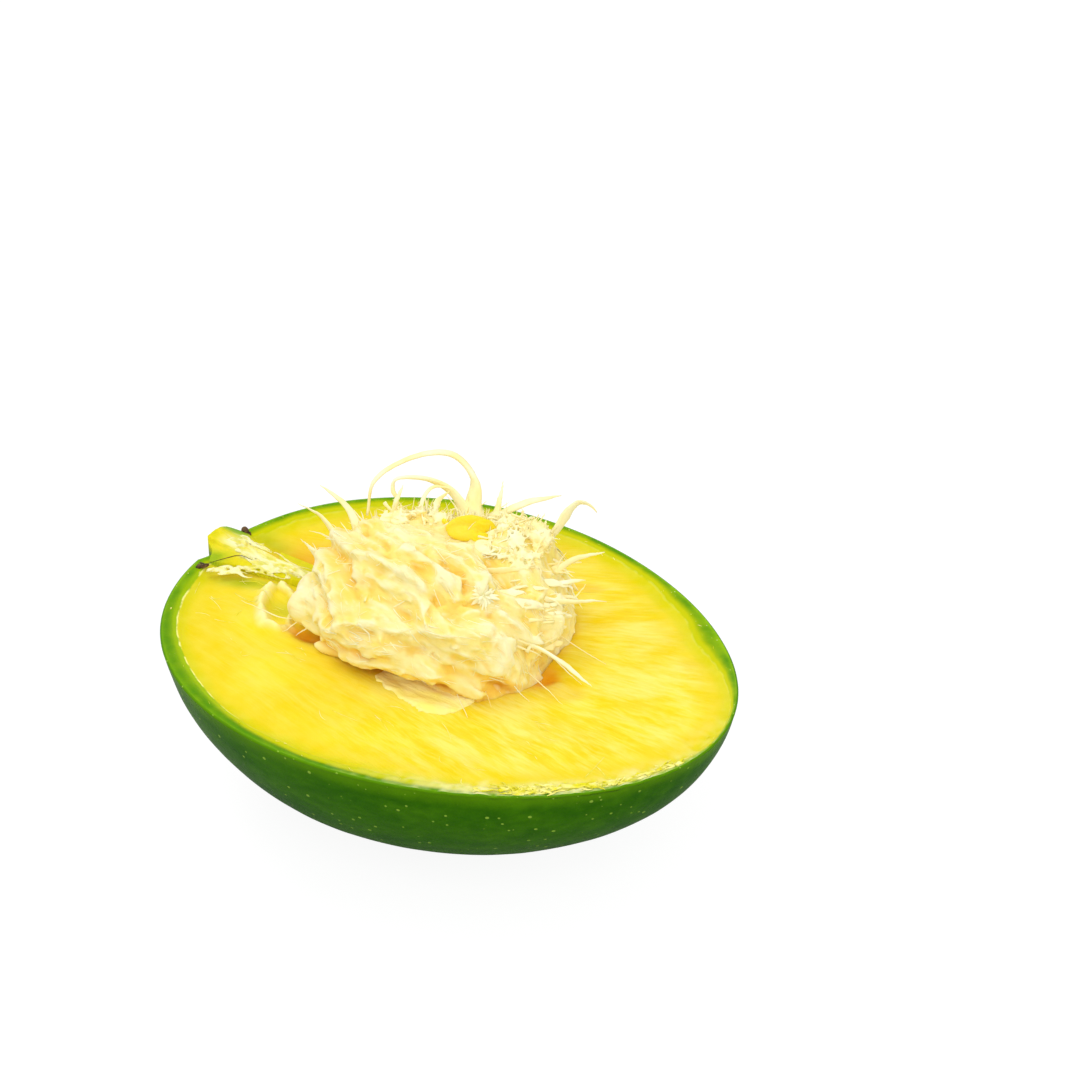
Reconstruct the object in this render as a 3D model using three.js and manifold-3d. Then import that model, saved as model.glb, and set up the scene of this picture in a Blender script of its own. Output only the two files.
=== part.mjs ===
// A hog plum cut in half lengthwise and laid on its rounded underside, cut face up.
// Its fibrous stone is still seated in the flesh, with loose fibres standing off it, and a torn scrap
// of flesh from the other half clings to the stone's top.
//
// Millimetres, +Z up. The origin is the middle of the small flat spot that the half rests on.
// +X runs along the fruit's axis from the stem end to the tip, and Y runs across it.

import * as THREE from "three";
import { mergeVertices } from "three/addons/utils/BufferGeometryUtils.js";
import Module from "manifold-3d";

const wasm = await Module();
wasm.setup();

// ---- driving dimensions -------------------------------------------------------------------------

const FRUIT = {
  length: 76,
  width: 59.6,
  depth: 26.8, // from the axis down to the skin, at the middle of the length
  stemFullness: 0.1, // how much wider the stem end is than the tip, as a share of the width
  middleX: 3.7, // the middle of the length, ahead of the resting spot
};
const CUT_BELOW_AXIS = 2.6;
const REST_SPOT_DEPTH = 0.3; // how far the underside is flattened where it rests
const DEEPEST = FRUIT.depth * Math.hypot(1, FRUIT.stemFullness); // a little stemward of the middle
const CUT_Z = DEEPEST - CUT_BELOW_AXIS - REST_SPOT_DEPTH;
const AXIS_Z = CUT_Z + CUT_BELOW_AXIS;
const STEM_X = FRUIT.middleX - FRUIT.length / 2;

const STONE = {
  middle: [0.5, 2.3],
  halfLength: 16,
  halfWidth: 13.3,
  above: 10.8, // how far it stands above the cut face
  below: 9,
  squareness: 2.7, // 2 is an ellipsoid, and more is boxier
  turn: 5, // degrees about Z
};
const FLAP = { middle: [7.5, -11.3], radii: [7.2, 2.6, 0.75], turn: -8 }; // torn from the stone's coat
const SCRAP = { middle: [-1.5, 10.2, 10.4], radii: [3.1, 2.1, 1.7], turn: 30 }; // on the stone's top
const GAP = 0.4; // round the stone and the scar, each in its seat
const FINE_GAP = 0.3; // between the stone and what stands on it

const DIMPLE = { radius: 9, depth: 1.8 }; // the hollow at the stem end
const SCAR = { radius: 4.7, thickness: 0.45, x: STEM_X + 1.6 }; // the ring that the stalk left
const CORE = { radius: 4.3, innerRadius: 1.3, length: 11, flatness: 0.62, lean: 0.45, top: 1.9 };

// ---- helpers --------------------------------------------------------------------------------------

function toSolid(geometry) {
  const bare = geometry.clone();
  bare.deleteAttribute("normal");
  bare.deleteAttribute("uv");
  const merged = mergeVertices(bare, 1e-4);
  return new wasm.Manifold(
    new wasm.Mesh({
      numProp: 3,
      vertProperties: new Float32Array(merged.attributes.position.array),
      triVerts: new Uint32Array(merged.index.array),
    }),
  );
}

function toGeometry(solid) {
  const mesh = solid.getMesh();
  const geometry = new THREE.BufferGeometry();
  geometry.setAttribute("position", new THREE.BufferAttribute(mesh.vertProperties, 3));
  geometry.setIndex(new THREE.BufferAttribute(mesh.triVerts, 1));
  geometry.computeVertexNormals();
  return geometry;
}

function largestBody(solid) {
  return solid.decompose().reduce((a, b) => (a.volume() > b.volume() ? a : b));
}

// Moves every vertex of a geometry to place(vertex).
function reshape(geometry, place) {
  const position = geometry.attributes.position;
  const v = new THREE.Vector3();
  for (let i = 0; i < position.count; i++) {
    const p = place(v.fromBufferAttribute(position, i));
    position.setXYZ(i, p.x, p.y, p.z);
  }
  return geometry;
}

function ellipsoid(centre, radii, turn = 0, around = 24, along = 16) {
  return new THREE.SphereGeometry(1, around, along)
    .scale(...radii)
    .rotateZ(THREE.MathUtils.degToRad(turn))
    .translate(...centre);
}

function box(low, high) {
  const size = high.map((h, i) => h - low[i]);
  const middle = high.map((h, i) => (h + low[i]) / 2);
  return new THREE.BoxGeometry(...size).translate(...middle);
}

// A tapered rod bent along a smooth curve through points. radiusAt takes 0 at the first point to 1
// at the last. flatness presses its section into a ribbon.
function bentRod(points, radiusAt, { sides = 8, steps = 14, flatness = 0.7 } = {}) {
  const curve = new THREE.CatmullRomCurve3(points.map((p) => new THREE.Vector3(...p)));
  const frames = curve.computeFrenetFrames(steps);
  const rod = new THREE.CylinderGeometry(1, 1, 1, sides, steps);
  return reshape(rod, (v) => {
    const share = v.y + 0.5;
    const step = Math.round(share * steps);
    const radius = radiusAt(share);
    return curve
      .getPointAt(share)
      .addScaledVector(frames.normals[step], v.x * radius * flatness)
      .addScaledVector(frames.binormals[step], -v.z * radius);
  });
}

// ---- the fruit half -------------------------------------------------------------------------------

// The whole fruit's skin: an ovoid a little fuller towards the stem.
function ovoid() {
  const unit = new THREE.SphereGeometry(1, 64, 40).rotateZ(Math.PI / 2);
  return reshape(unit, (v) => {
    const fullness = 1 - FRUIT.stemFullness * v.x;
    return new THREE.Vector3(
      FRUIT.middleX + (v.x * FRUIT.length) / 2,
      (v.y * fullness * FRUIT.width) / 2,
      AXIS_Z + v.z * fullness * FRUIT.depth,
    );
  });
}

// The thick folds and lumps of the stone's fibre coat: how far each stands out, how wide it is, and
// where it runs, in millimetres from the cut face.
const FOLDS = [
  { height: 1.5, width: 2.0, route: [[-6.5, -9.6, 3.6], [0.6, -10.5, 3], [7.5, -9.6, 1.8]] },
  { height: 1.1, width: 1.6, route: [[-6, -4.4, 9.6], [-1.3, -4.5, 10], [4, -5, 9.4]] },
  { height: 1.0, width: 2.2, route: [[-9, 4, 9.8], [-2.3, 2.5, 10.6], [8.5, -0.5, 10]] },
  { height: 1.2, width: 2.0, route: [[-13.5, 2.5, 7.6], [-9.5, -3.6, 8.6], [-5.8, -6.7, 8.4], [-2.5, -9, 6.6]] },
  { height: 0.9, width: 2.2, route: [[6, 9.5, 9], [10.5, 6.5, 9], [14, 2, 7.8]] },
  { height: 1.6, width: 3.2, route: [[8.5, -7, 5], [11, -6.5, 3.5]] },
  { height: 2.2, width: 3.0, route: [[-12.5, -5.5, 1.5], [-13.5, -3.5, 2.5]] },
];

function foldHeight(point) {
  const heights = FOLDS.map(({ height, width, route }) => {
    const knots = route.map(([x, y, z]) => new THREE.Vector3(x, y, CUT_Z + z));
    const distances = knots.slice(1).map((knot, i) => {
      const nearest = new THREE.Line3(knots[i], knot).closestPointToPoint(point, true, new THREE.Vector3());
      return nearest.distanceTo(point);
    });
    return height * Math.exp(-((Math.min(...distances) / width) ** 2));
  });
  return Math.max(...heights);
}

// The stone grown by a margin: its body above the cut face, and its smooth lower half in its seat.
function stoneShape(margin, { folded = true, around = 52, along = 34 } = {}) {
  const power = STONE.squareness;
  const middle = new THREE.Vector3(...STONE.middle, CUT_Z);
  const turn = THREE.MathUtils.degToRad(STONE.turn);
  return reshape(new THREE.SphereGeometry(1, around, along), (v) => {
    const height = v.z > 0 ? STONE.above : STONE.below;
    const radius =
      (Math.abs(v.x / (STONE.halfLength + margin)) ** power +
        Math.abs(v.y / (STONE.halfWidth + margin)) ** power +
        Math.abs(v.z / (height + margin)) ** power) **
      (-1 / power);
    const outward = v.clone().applyAxisAngle(new THREE.Vector3(0, 0, 1), turn);
    const onSurface = outward.clone().multiplyScalar(radius).add(middle);
    const standsOut = folded && v.z > 0 ? foldHeight(onSurface) * Math.min(1, v.z * 5) : 0;
    return onSurface.addScaledVector(outward, standsOut);
  });
}

// The torn plug of the stalk. It fills the dimple, leans out over the scar and stands a little
// above the cut face.
function stalkCore() {
  const { radius, innerRadius, length, flatness, lean, top } = CORE;
  const cone = new THREE.CylinderGeometry(innerRadius, radius, length, 16).rotateZ(-Math.PI / 2);
  const height = radius * flatness;
  return reshape(cone, (v) => v.set(v.x - lean * v.z * flatness, v.y, v.z * flatness)).translate(
    STEM_X + length / 2 - 0.1,
    0.2,
    CUT_Z + top - height,
  );
}

// Pale fibres run from the stalk to the stone as a low ridge on the cut face.
function fibreRidge() {
  const route = [
    [STEM_X + 6, -0.4, CUT_Z + 0.2],
    [STEM_X + 10, -1.2, CUT_Z + 0.1],
    [STEM_X + 15, -1.3, CUT_Z],
    [STEM_X + 20, -0.6, CUT_Z - 0.3],
  ];
  return bentRod(route, (s) => 1.4 - 0.6 * s, { sides: 10, steps: 10, flatness: 1 });
}

// The flesh dips beside the ridge.
function besideRidge() {
  return ellipsoid([-22, 4.8, CUT_Z + 1.8], [9, 4.6, 4]);
}

// A crevice opens along the stone's near side.
function crevice() {
  const route = [
    [-13, -7.6, CUT_Z + 0.4],
    [-6, -11.2, CUT_Z + 0.3],
    [3, -12, CUT_Z + 0.4],
  ];
  const radiusAt = (s) => 0.6 + 1.3 * Math.sin(Math.PI * s);
  return bentRod(route, radiusAt, { sides: 10, steps: 12, flatness: 1 });
}

function cutHalf() {
  const reach = FRUIT.length;
  const kept = box([-reach, -reach, 0], [reach, reach, CUT_Z]);
  const dimple = ellipsoid(
    [STEM_X - DIMPLE.radius + DIMPLE.depth, 0, AXIS_Z],
    [DIMPLE.radius, DIMPLE.radius, DIMPLE.radius],
    0,
    48,
    32,
  );
  return toSolid(ovoid())
    .intersect(toSolid(kept))
    .subtract(toSolid(besideRidge()))
    .subtract(toSolid(crevice()))
    .subtract(toSolid(dimple))
    .add(toSolid(stalkCore()))
    .add(toSolid(fibreRidge()))
    .subtract(scarRing(GAP))
    .subtract(toSolid(stoneShape(GAP, { folded: false, around: 40, along: 26 })));
}

// ---- the stone and what stands on it ----------------------------------------------------------------

// The flap lies on the flesh beside the stone and is still joined to its coat.
function stone() {
  const { middle, radii, turn } = FLAP;
  const flap = ellipsoid([...middle, CUT_Z + GAP + radii[2]], radii, turn);
  return toSolid(stoneShape(0)).add(toSolid(flap));
}

// The corky ring that the stalk left round the dimple, cut through with the fruit.
function scarRing(margin) {
  const { radius, thickness, x } = SCAR;
  const ring = new THREE.TorusGeometry(radius, thickness + margin, 8, 40)
    .rotateY(Math.PI / 2)
    .translate(x, 0, CUT_Z);
  const reach = radius * 2;
  const below = box([x - reach, -reach, 0], [x + reach, reach, CUT_Z]);
  return toSolid(ring).intersect(toSolid(below));
}

// The scrap of the other half's flesh, grown by a margin.
function scrapShape(margin) {
  const [x, y, z] = SCRAP.middle;
  const radii = SCRAP.radii.map((radius) => radius + margin);
  return toSolid(ellipsoid([x, y, CUT_Z + z], radii, SCRAP.turn, 20, 12));
}

// The main loose fibres: where each runs from its root on the stone, in millimetres from the cut
// face, and its width at the root, the middle and the end.
const FIBRES = {
  fibre_arch: {
    widths: [1.7, 0.6, 0.45],
    route: [[-2.5, 13, 9.4], [-3.5, 15, 13], [-7, 15, 15.5], [-11, 12, 15], [-13.8, 8, 12.5], [-14, 6.5, 9]],
  },
  fibre_curl: {
    widths: [0.9, 0.65, 0.2],
    route: [[-3.5, 13, 9.6], [-5.5, 12.5, 12], [-8, 11, 13.5], [-10.5, 8.5, 14], [-10.6, 7.5, 13], [-10, 7.5, 12]],
  },
  fibre_left_spike: {
    widths: [1.2, 0.6, 0.1],
    route: [[-13.5, 4, 7.6], [-15.5, 5, 9], [-17, 5, 10], [-20, 5, 11]],
  },
  fibre_left_low: {
    widths: [0.8, 0.4, 0.1],
    route: [[-15, 1.5, 7.4], [-17.5, 1.5, 9.5], [-20.5, 1, 10.5]],
  },
  fibre_left_thorn: {
    widths: [1, 0.5, 0.1],
    route: [[-14.5, -2.5, 6.4], [-15.7, -2.6, 7.5], [-17.2, -2.8, 8.6]],
  },
  fibre_leaf: {
    widths: [1.1, 0.9, 0.15],
    route: [[-9.5, 6, 10], [-9.5, 6.5, 11.5], [-9, 7.5, 13.5]],
  },
  fibre_hook: {
    widths: [0.7, 0.5, 0.15],
    route: [[-6.5, 7.5, 10.4], [-7, 9, 12], [-6.5, 10.5, 13], [-5, 12.5, 12.3]],
  },
  fibre_tuft: {
    widths: [1, 0.7, 0.15],
    route: [[-4.5, 8, 10.8], [-5, 9.5, 12], [-4, 10.5, 13.2]],
  },
  fibre_back_spike: {
    widths: [0.8, 0.5, 0.15],
    route: [[0.5, 14, 9.4], [0.2, 15.5, 11.5], [-0.5, 17, 13]],
  },
  fibre_back_long: {
    widths: [1.2, 0.7, 0.15],
    route: [[2.5, 14.5, 9], [3.6, 17, 10.5], [4.5, 19.5, 10.8], [5.5, 21.5, 10.6]],
  },
  fibre_ribbon: {
    widths: [1, 1.5, 0.2],
    route: [[8, 13.5, 8.4], [9, 15, 10.5], [10, 17, 13], [11.5, 18, 13.3], [12.7, 18.5, 12.5]],
  },
  fibre_right_top: {
    widths: [0.6, 0.45, 0.1],
    route: [[12.5, 10.5, 8], [14, 12, 9.2], [16.5, 14.5, 9.8]],
  },
  fibre_right_mid: {
    widths: [0.7, 0.5, 0.1],
    route: [[15, 4.5, 7.6], [17.5, 5.8, 7.6], [21, 8, 8]],
  },
  fibre_right_blade: {
    widths: [0.4, 0.9, 0.1],
    route: [[16.6, -0.5, 4.2], [19.5, -0.2, 3.4], [24, 0.5, 1]],
  },
};

function looseFibre({ route, widths }, keepOff) {
  const [root, middle, end] = widths.map((w) => w / 2);
  const radiusAt = (s) =>
    s < 0.5
      ? THREE.MathUtils.lerp(root, middle, s * 2)
      : THREE.MathUtils.lerp(middle, end, s * 2 - 1);
  const points = route.map(([x, y, z]) => [x, y, CUT_Z + z]);
  const rod = toSolid(bentRod(points, radiusAt, { sides: 6, steps: route.length * 3 }));
  return keepOff.reduce((left, other) => largestBody(left.subtract(other)), rod);
}

// ---- the object -------------------------------------------------------------------------------------

function material(colour, roughness) {
  return new THREE.MeshStandardMaterial({ color: colour, roughness, metalness: 0 });
}

function addPiece(group, name, solid, finish) {
  const mesh = new THREE.Mesh(toGeometry(solid), finish);
  mesh.name = name;
  group.add(mesh);
}

const fleshAndSkin = material(0x5f9a1c, 0.35);
const fibreCoat = material(0xf0dca0, 0.55);
const looseFibreFinish = material(0xf6e9b4, 0.5);
const yellowFlesh = material(0xf4d01c, 0.35);
const corky = material(0x3a2a18, 0.85);

const hogPlum = new THREE.Group();
const stoneClearance = toSolid(stoneShape(FINE_GAP));
const scrap = largestBody(scrapShape(0).subtract(stoneClearance));
const keepOff = [stoneClearance, scrapShape(FINE_GAP)];

addPiece(hogPlum, "cut_half", cutHalf(), fleshAndSkin);
addPiece(hogPlum, "stone", stone(), fibreCoat);
addPiece(hogPlum, "clinging_flesh", scrap, yellowFlesh);
addPiece(hogPlum, "stem_scar", scarRing(0), corky);
for (const [name, fibre] of Object.entries(FIBRES)) {
  addPiece(hogPlum, name, looseFibre(fibre, keepOff), looseFibreFinish);
}

export default hogPlum;
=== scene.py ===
"""Dresses the cut hog plum half: waxy green skin with pale pores, moist yellow flesh with its torn
streaks, the matted fibre coat of the stone, and the loose fibres that stand off it.

Shapes are worked out in millimetres and turned into metres as each piece is made.
+X runs from the stem end to the tip, +Y away from the near side, and +Z up out of the cut face.
"""

import math

import bpy
import numpy as np
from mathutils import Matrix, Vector


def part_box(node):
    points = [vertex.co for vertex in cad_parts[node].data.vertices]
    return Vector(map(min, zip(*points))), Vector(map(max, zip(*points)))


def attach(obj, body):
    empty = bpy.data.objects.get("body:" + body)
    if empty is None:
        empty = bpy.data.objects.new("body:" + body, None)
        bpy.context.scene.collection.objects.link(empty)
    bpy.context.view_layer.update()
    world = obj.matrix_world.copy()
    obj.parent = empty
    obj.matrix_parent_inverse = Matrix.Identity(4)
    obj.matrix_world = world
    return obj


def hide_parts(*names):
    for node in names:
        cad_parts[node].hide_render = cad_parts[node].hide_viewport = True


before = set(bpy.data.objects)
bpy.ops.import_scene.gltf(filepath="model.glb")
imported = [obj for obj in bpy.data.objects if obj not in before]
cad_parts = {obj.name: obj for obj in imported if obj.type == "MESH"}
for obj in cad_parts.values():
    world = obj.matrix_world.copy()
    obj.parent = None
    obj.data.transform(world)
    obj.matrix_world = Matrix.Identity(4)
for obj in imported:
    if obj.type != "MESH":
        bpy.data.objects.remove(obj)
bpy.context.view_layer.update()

MM = 0.001

# ---- the fruit's driving dimensions, in millimetres ----------------------------------------------

CUT_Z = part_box("stem_scar")[1].z / MM  # the cut face
CUT = np.array([0, 0, CUT_Z])
UP = np.array([0.0, 0.0, 1.0])
LENGTH = 76.0
WIDTH = 59.6
DEPTH = 26.8
STEM_FULLNESS = 0.1
MIDDLE_X = 3.7
CUT_BELOW_AXIS = 2.6
AXIS_Z = CUT_Z + CUT_BELOW_AXIS
STEM_X = MIDDLE_X - LENGTH / 2

STONE_MIDDLE = np.array([0.5, 2.3, CUT_Z])
STONE_HALF = np.array([16.0, 13.3])
STONE_ABOVE = 10.8
STONE_BELOW = 9.0
STONE_SQUARENESS = 2.7  # 2 would be an egg, and more is boxier
STONE_TURN = math.radians(5)

DIMPLE_RADIUS = 9.0
DIMPLE_DEPTH = 1.8
SPREAD_FAR, SPREAD_NEAR = 35.0, 110.0  # how soon the flesh's fibres spread out, on each side


# ---- numbers -------------------------------------------------------------------------------------

def smooth_step(low, high, value):
    """0 at low and below, 1 at high and above, with a soft rise between. low may be the larger."""
    share = np.clip((value - low) / (high - low), 0, 1)
    return share * share * (3 - 2 * share)


def bell(distance, width):
    """1 where the distance is 0, fading out over about the width on both sides."""
    return np.exp(-((distance / width) ** 2))


def spot(x, y, middle, radii):
    """1 at the middle of an oval spot of the cut face, fading out round it."""
    return np.exp(-(((x - middle[0]) / radii[0]) ** 2) - ((y - middle[1]) / radii[1]) ** 2)


def lattice(cells, seed):
    """A repeatable number from -1 to 1 for each whole-numbered cell."""
    h = cells.astype(np.int64)
    n = h[..., 0] * 73856093 ^ h[..., 1] * 19349663 ^ h[..., 2] * 83492791 ^ (seed * 2654435761)
    n = (n ^ (n >> 13)) * 1274126177 & 0x7FFFFFFF
    n = (n ^ (n >> 11)) * 668265263 & 0x7FFFFFFF
    return ((n >> 7) & 0xFFFF) / 32767.5 - 1


def noise(points, size, seed=0):
    """Smooth noise from -1 to 1 whose patches are about size across. points is (n, 3)."""
    p = np.asarray(points, float) / size
    base = np.floor(p)
    f = p - base
    f = f * f * (3 - 2 * f)
    total = 0
    for corner in np.ndindex(2, 2, 2):
        c = np.array(corner)
        weight = np.prod(np.where(c, f, 1 - f), axis=-1)
        total = total + weight * lattice(base + c, seed)
    return total


def layered_noise(points, size, seed=0, layers=3):
    """Noise with finer noise on top, each layer half as large and half as strong as the last."""
    total = 0
    for i in range(layers):
        total = total + noise(points, size / 2**i, seed + i * 17) / 2**i
    return total / (2 - 2.0 ** (1 - layers))


def flat_points(*columns):
    """Columns side by side as (n, 3) points, with zeros for any that are missing."""
    columns = [np.asarray(c, float) for c in columns]
    while len(columns) < 3:
        columns.append(np.zeros_like(columns[0]))
    return np.stack(columns, axis=-1)


# ---- meshes --------------------------------------------------------------------------------------

def make_mesh(name, points, faces, materials, face_materials=None, values=None, smooth=True):
    """A mesh object from points in millimetres. values are named numbers, one for each point."""
    mesh = bpy.data.meshes.new(name)
    mesh.from_pydata((np.asarray(points) * MM).tolist(), [], faces)
    for material in materials:
        mesh.materials.append(material)
    if face_materials is not None:
        mesh.polygons.foreach_set("material_index", np.asarray(face_materials, np.int32))
    mesh.polygons.foreach_set("use_smooth", [smooth] * len(mesh.polygons))
    for value_name, numbers in (values or {}).items():
        set_value(mesh, value_name, numbers)
    mesh.update()
    made = bpy.data.objects.new(name, mesh)
    bpy.context.scene.collection.objects.link(made)
    return made


def mesh_points(mesh):
    """The points of a mesh in millimetres."""
    found = np.empty(len(mesh.vertices) * 3, np.float32)
    mesh.vertices.foreach_get("co", found)
    return found.reshape(-1, 3).astype(float) / MM


def mesh_normals(mesh):
    """The way that the surface faces at each point of a mesh."""
    found = np.empty(len(mesh.vertices) * 3, np.float32)
    mesh.vertex_normals.foreach_get("vector", found)
    return found.reshape(-1, 3).astype(float)


def set_points(mesh, points):
    """Moves the points of a mesh. They are in millimetres."""
    mesh.vertices.foreach_set("co", (points * MM).astype(np.float32).ravel())
    mesh.update()


def set_value(mesh, name, numbers):
    """Gives each point of a mesh a named number, for its material to read."""
    attribute = mesh.attributes.get(name) or mesh.attributes.new(name, "FLOAT", "POINT")
    attribute.data.foreach_set("value", np.asarray(numbers, np.float32))


def mesh_value(mesh, name):
    """A named number at each point of a mesh."""
    numbers = np.empty(len(mesh.vertices), np.float32)
    mesh.attributes[name].data.foreach_get("value", numbers)
    return numbers


def stitch(first, second):
    """Faces between two closed rings of point numbers. The second may have half as many points."""
    n, m = len(first), len(second)
    after = np.roll(first, -1)
    if n == m:
        return np.stack([first, after, np.roll(second, -1), second], 1).tolist()
    faces = []
    for i in range(m):
        a, b, c = first[2 * i], first[2 * i + 1], first[(2 * i + 2) % n]
        p, q = second[i], second[(i + 1) % m]
        faces += [[a, b, p], [b, c, q], [b, q, p]]
    return faces


def dress(piece, slot, *nodes):
    """Puts a finished piece on the fruit, in place of the solids that it stands for."""
    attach(piece, "root")
    if nodes:
        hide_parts(*nodes)
    return piece


# ---- shader building -----------------------------------------------------------------------------

def srgb(text):
    """A colour written as hex, in the linear numbers that shaders take."""
    parts = [int(text[i : i + 2], 16) / 255 for i in (0, 2, 4)]
    linear = [c / 12.92 if c <= 0.04045 else ((c + 0.055) / 1.055) ** 2.4 for c in parts]
    return (*linear, 1.0)


class Tree:
    """Short calls for the nodes of one material or group."""

    def __init__(self, tree):
        self.tree = tree

    def node(self, kind, inputs=None, **settings):
        """A new node. inputs are values or links for its sockets."""
        made = self.tree.nodes.new("ShaderNode" + kind)
        for key, value in settings.items():
            setattr(made, key, value)
        for key, value in (inputs or {}).items():
            self.feed(made.inputs[key], value)
        return made

    def feed(self, socket, value):
        if isinstance(value, bpy.types.NodeSocket):
            self.tree.links.new(value, socket)
        else:
            socket.default_value = value

    def value(self, name):
        """A named number that the mesh holds at each point."""
        return self.node("Attribute", attribute_name=name).outputs["Fac"]

    def place(self):
        return self.node("TexCoord").outputs["Object"]

    def stretched(self, x, y, z):
        """Object coordinates in millimetres, squeezed by a number along each axis."""
        mapping = self.node("Mapping", {"Vector": self.place()})
        mapping.inputs["Scale"].default_value = (x / MM, y / MM, z / MM)
        return mapping.outputs["Vector"]

    def math(self, operation, first, second=0.0, clamp=False):
        made = self.node("Math", operation=operation, use_clamp=clamp)
        self.feed(made.inputs[0], first)
        self.feed(made.inputs[1], second)
        return made.outputs[0]

    def noise(self, vector, scale, detail=3.0, roughness=0.55, distortion=0.0):
        """Smooth noise from 0 to 1."""
        made = self.node("TexNoise", {"Vector": vector, "Scale": scale, "Detail": detail})
        made.inputs["Roughness"].default_value = roughness
        made.inputs["Distortion"].default_value = distortion
        return made.outputs["Fac"]

    def spread(self, value, low, high, to_low=0.0, to_high=1.0):
        """A value's softened way from low to high, as a way from to_low to to_high."""
        made = self.node("MapRange", interpolation_type="SMOOTHSTEP")
        limits = {"From Min": low, "From Max": high, "To Min": to_low, "To Max": to_high}
        for key, number in limits.items():
            made.inputs[key].default_value = number
        self.feed(made.inputs["Value"], value)
        return made.outputs["Result"]

    def times(self, first, second):
        return self.math("MULTIPLY", first, second)

    def mix(self, share, first, second):
        made = self.node("Mix", data_type="RGBA", blend_type="MIX")
        self.feed(made.inputs[0], share)
        self.feed(made.inputs[6], first)
        self.feed(made.inputs[7], second)
        return made.outputs[2]

    def tint(self, colour, text, share, strength=1.0):
        """A colour drawn towards another one, written as hex, by a share over the surface."""
        share = share if strength == 1.0 else self.times(share, strength)
        return self.mix(share, colour, srgb(text))

    def along(self, place, axis):
        """One coordinate of a place: 0 along the fruit, 1 across it and 2 up."""
        return self.node("SeparateXYZ", {"Vector": place}).outputs[axis]

    def bump(self, height, distance, normal=None):
        made = self.node("Bump", {"Height": height, "Distance": distance * MM, "Strength": 1.0})
        if normal is not None:
            self.feed(made.inputs["Normal"], normal)
        return made.outputs["Normal"]

    def group(self, tree, **inputs):
        """The outputs of a shader group with its inputs fed."""
        made = self.node("Group", node_tree=tree)
        for key, value in inputs.items():
            self.feed(made.inputs[key], value)
        return made.outputs


def bare_tree(owner):
    """The emptied nodes of a material or a world."""
    owner.use_nodes = True
    owner.node_tree.nodes.clear()
    return Tree(owner.node_tree)


def new_material(name):
    """A material with its nodes and its one shader, ready to be fed."""
    material = bpy.data.materials.new(name)
    tree = bare_tree(material)
    shader = tree.node("BsdfPrincipled")
    output = tree.node("OutputMaterial")
    material.node_tree.links.new(shader.outputs["BSDF"], output.inputs["Surface"])
    return material, tree, shader


def soften(shader, weight, radius, reach):
    """Lets light into the surface, about reach millimetres deep, by colour as the radius says."""
    shader.inputs["Subsurface Weight"].default_value = weight
    shader.inputs["Subsurface Radius"].default_value = radius
    shader.inputs["Subsurface Scale"].default_value = reach * MM


def new_group(name, inputs, outputs):
    """An empty shader group. inputs map each name to its first value, or to None for a place, and
    outputs are names of numbers."""
    group = bpy.data.node_groups.new(name, "ShaderNodeTree")
    for key, value in inputs.items():
        kind = "NodeSocketVector" if value is None else "NodeSocketFloat"
        socket = group.interface.new_socket(key, in_out="INPUT", socket_type=kind)
        if value is not None:
            socket.default_value = value
    for key in outputs:
        group.interface.new_socket(key, in_out="OUTPUT", socket_type="NodeSocketFloat")
    tree = Tree(group)
    entry = group.nodes.new("NodeGroupInput").outputs
    end = group.nodes.new("NodeGroupOutput").inputs
    return group, tree, entry, end


def cloudy_patches_group():
    """Soft uneven patches, for colour that drifts over a surface."""
    first_values = {"Place": None, "Scale": 0.1, "Contrast": 1.0}
    group, tree, entry, end = new_group("cloudy_patches", first_values, ["Mask"])
    place, scale = entry["Place"], entry["Scale"]
    cloud = tree.node("TexNoise", {"Vector": place, "Scale": scale, "Detail": 3.0})
    centred = tree.math("SUBTRACT", cloud.outputs["Fac"], 0.5)
    stretched = tree.times(centred, tree.times(entry["Contrast"], 3.0))
    tree.feed(end["Mask"], tree.math("ADD", stretched, 0.5, clamp=True))
    return group


def wet_grain_group():
    """The fine uneven relief of moist tissue, as a height and as a mask of its high spots."""
    first_values = {"Place": None, "Fineness": 2.0}
    group, tree, entry, end = new_group("wet_grain", first_values, ["Height", "High Spots"])
    place, fineness = entry["Place"], entry["Fineness"]
    coarse = tree.node("TexNoise", {"Vector": place, "Scale": fineness, "Detail": 4.0})
    finer = tree.times(fineness, 3.7)
    fine = tree.node("TexNoise", {"Vector": place, "Scale": finer, "Detail": 2.0})
    height = tree.math("ADD", coarse.outputs["Fac"], tree.times(fine.outputs["Fac"], 0.4))
    tree.feed(end["Height"], height)
    tree.feed(end["High Spots"], tree.spread(height, 0.78, 0.95))
    return group


def fibre_streaks_group():
    """Pale and deep streaks along the flesh's fibres, from the fibre lines that the mesh holds."""
    first_values = {"Across": 0.0, "Along": 0.0}
    group, tree, entry, end = new_group("fibre_streaks", first_values, ["Pale", "Deep", "Height"])

    def streak(across, along, layer, detail):
        at = tree.node("CombineXYZ", {"Z": layer})
        tree.feed(at.inputs[0], tree.times(entry["Across"], across))
        tree.feed(at.inputs[1], tree.times(entry["Along"], along))
        return tree.noise(at.outputs[0], 1.0, detail, 0.6, 0.3)

    broad = streak(0.42, 0.09, 3.0, 2.0)
    middling = streak(1.2, 0.16, 7.0, 3.0)
    fine = streak(3.6, 0.4, 11.0, 2.0)
    mixed = tree.math("ADD", tree.times(middling, 0.5), tree.times(fine, 0.5))
    lean = tree.times(tree.math("SUBTRACT", broad, 0.5), 0.9)
    leaning = tree.math("ADD", mixed, lean)
    tree.feed(end["Pale"], tree.spread(leaning, 0.32, 0.78))
    tree.feed(end["Deep"], tree.spread(leaning, 0.46, 0.24))
    tree.feed(end["Height"], mixed)
    return group


CLOUDY_PATCHES = cloudy_patches_group()
WET_GRAIN = wet_grain_group()
FIBRE_STREAKS = fibre_streaks_group()


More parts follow.
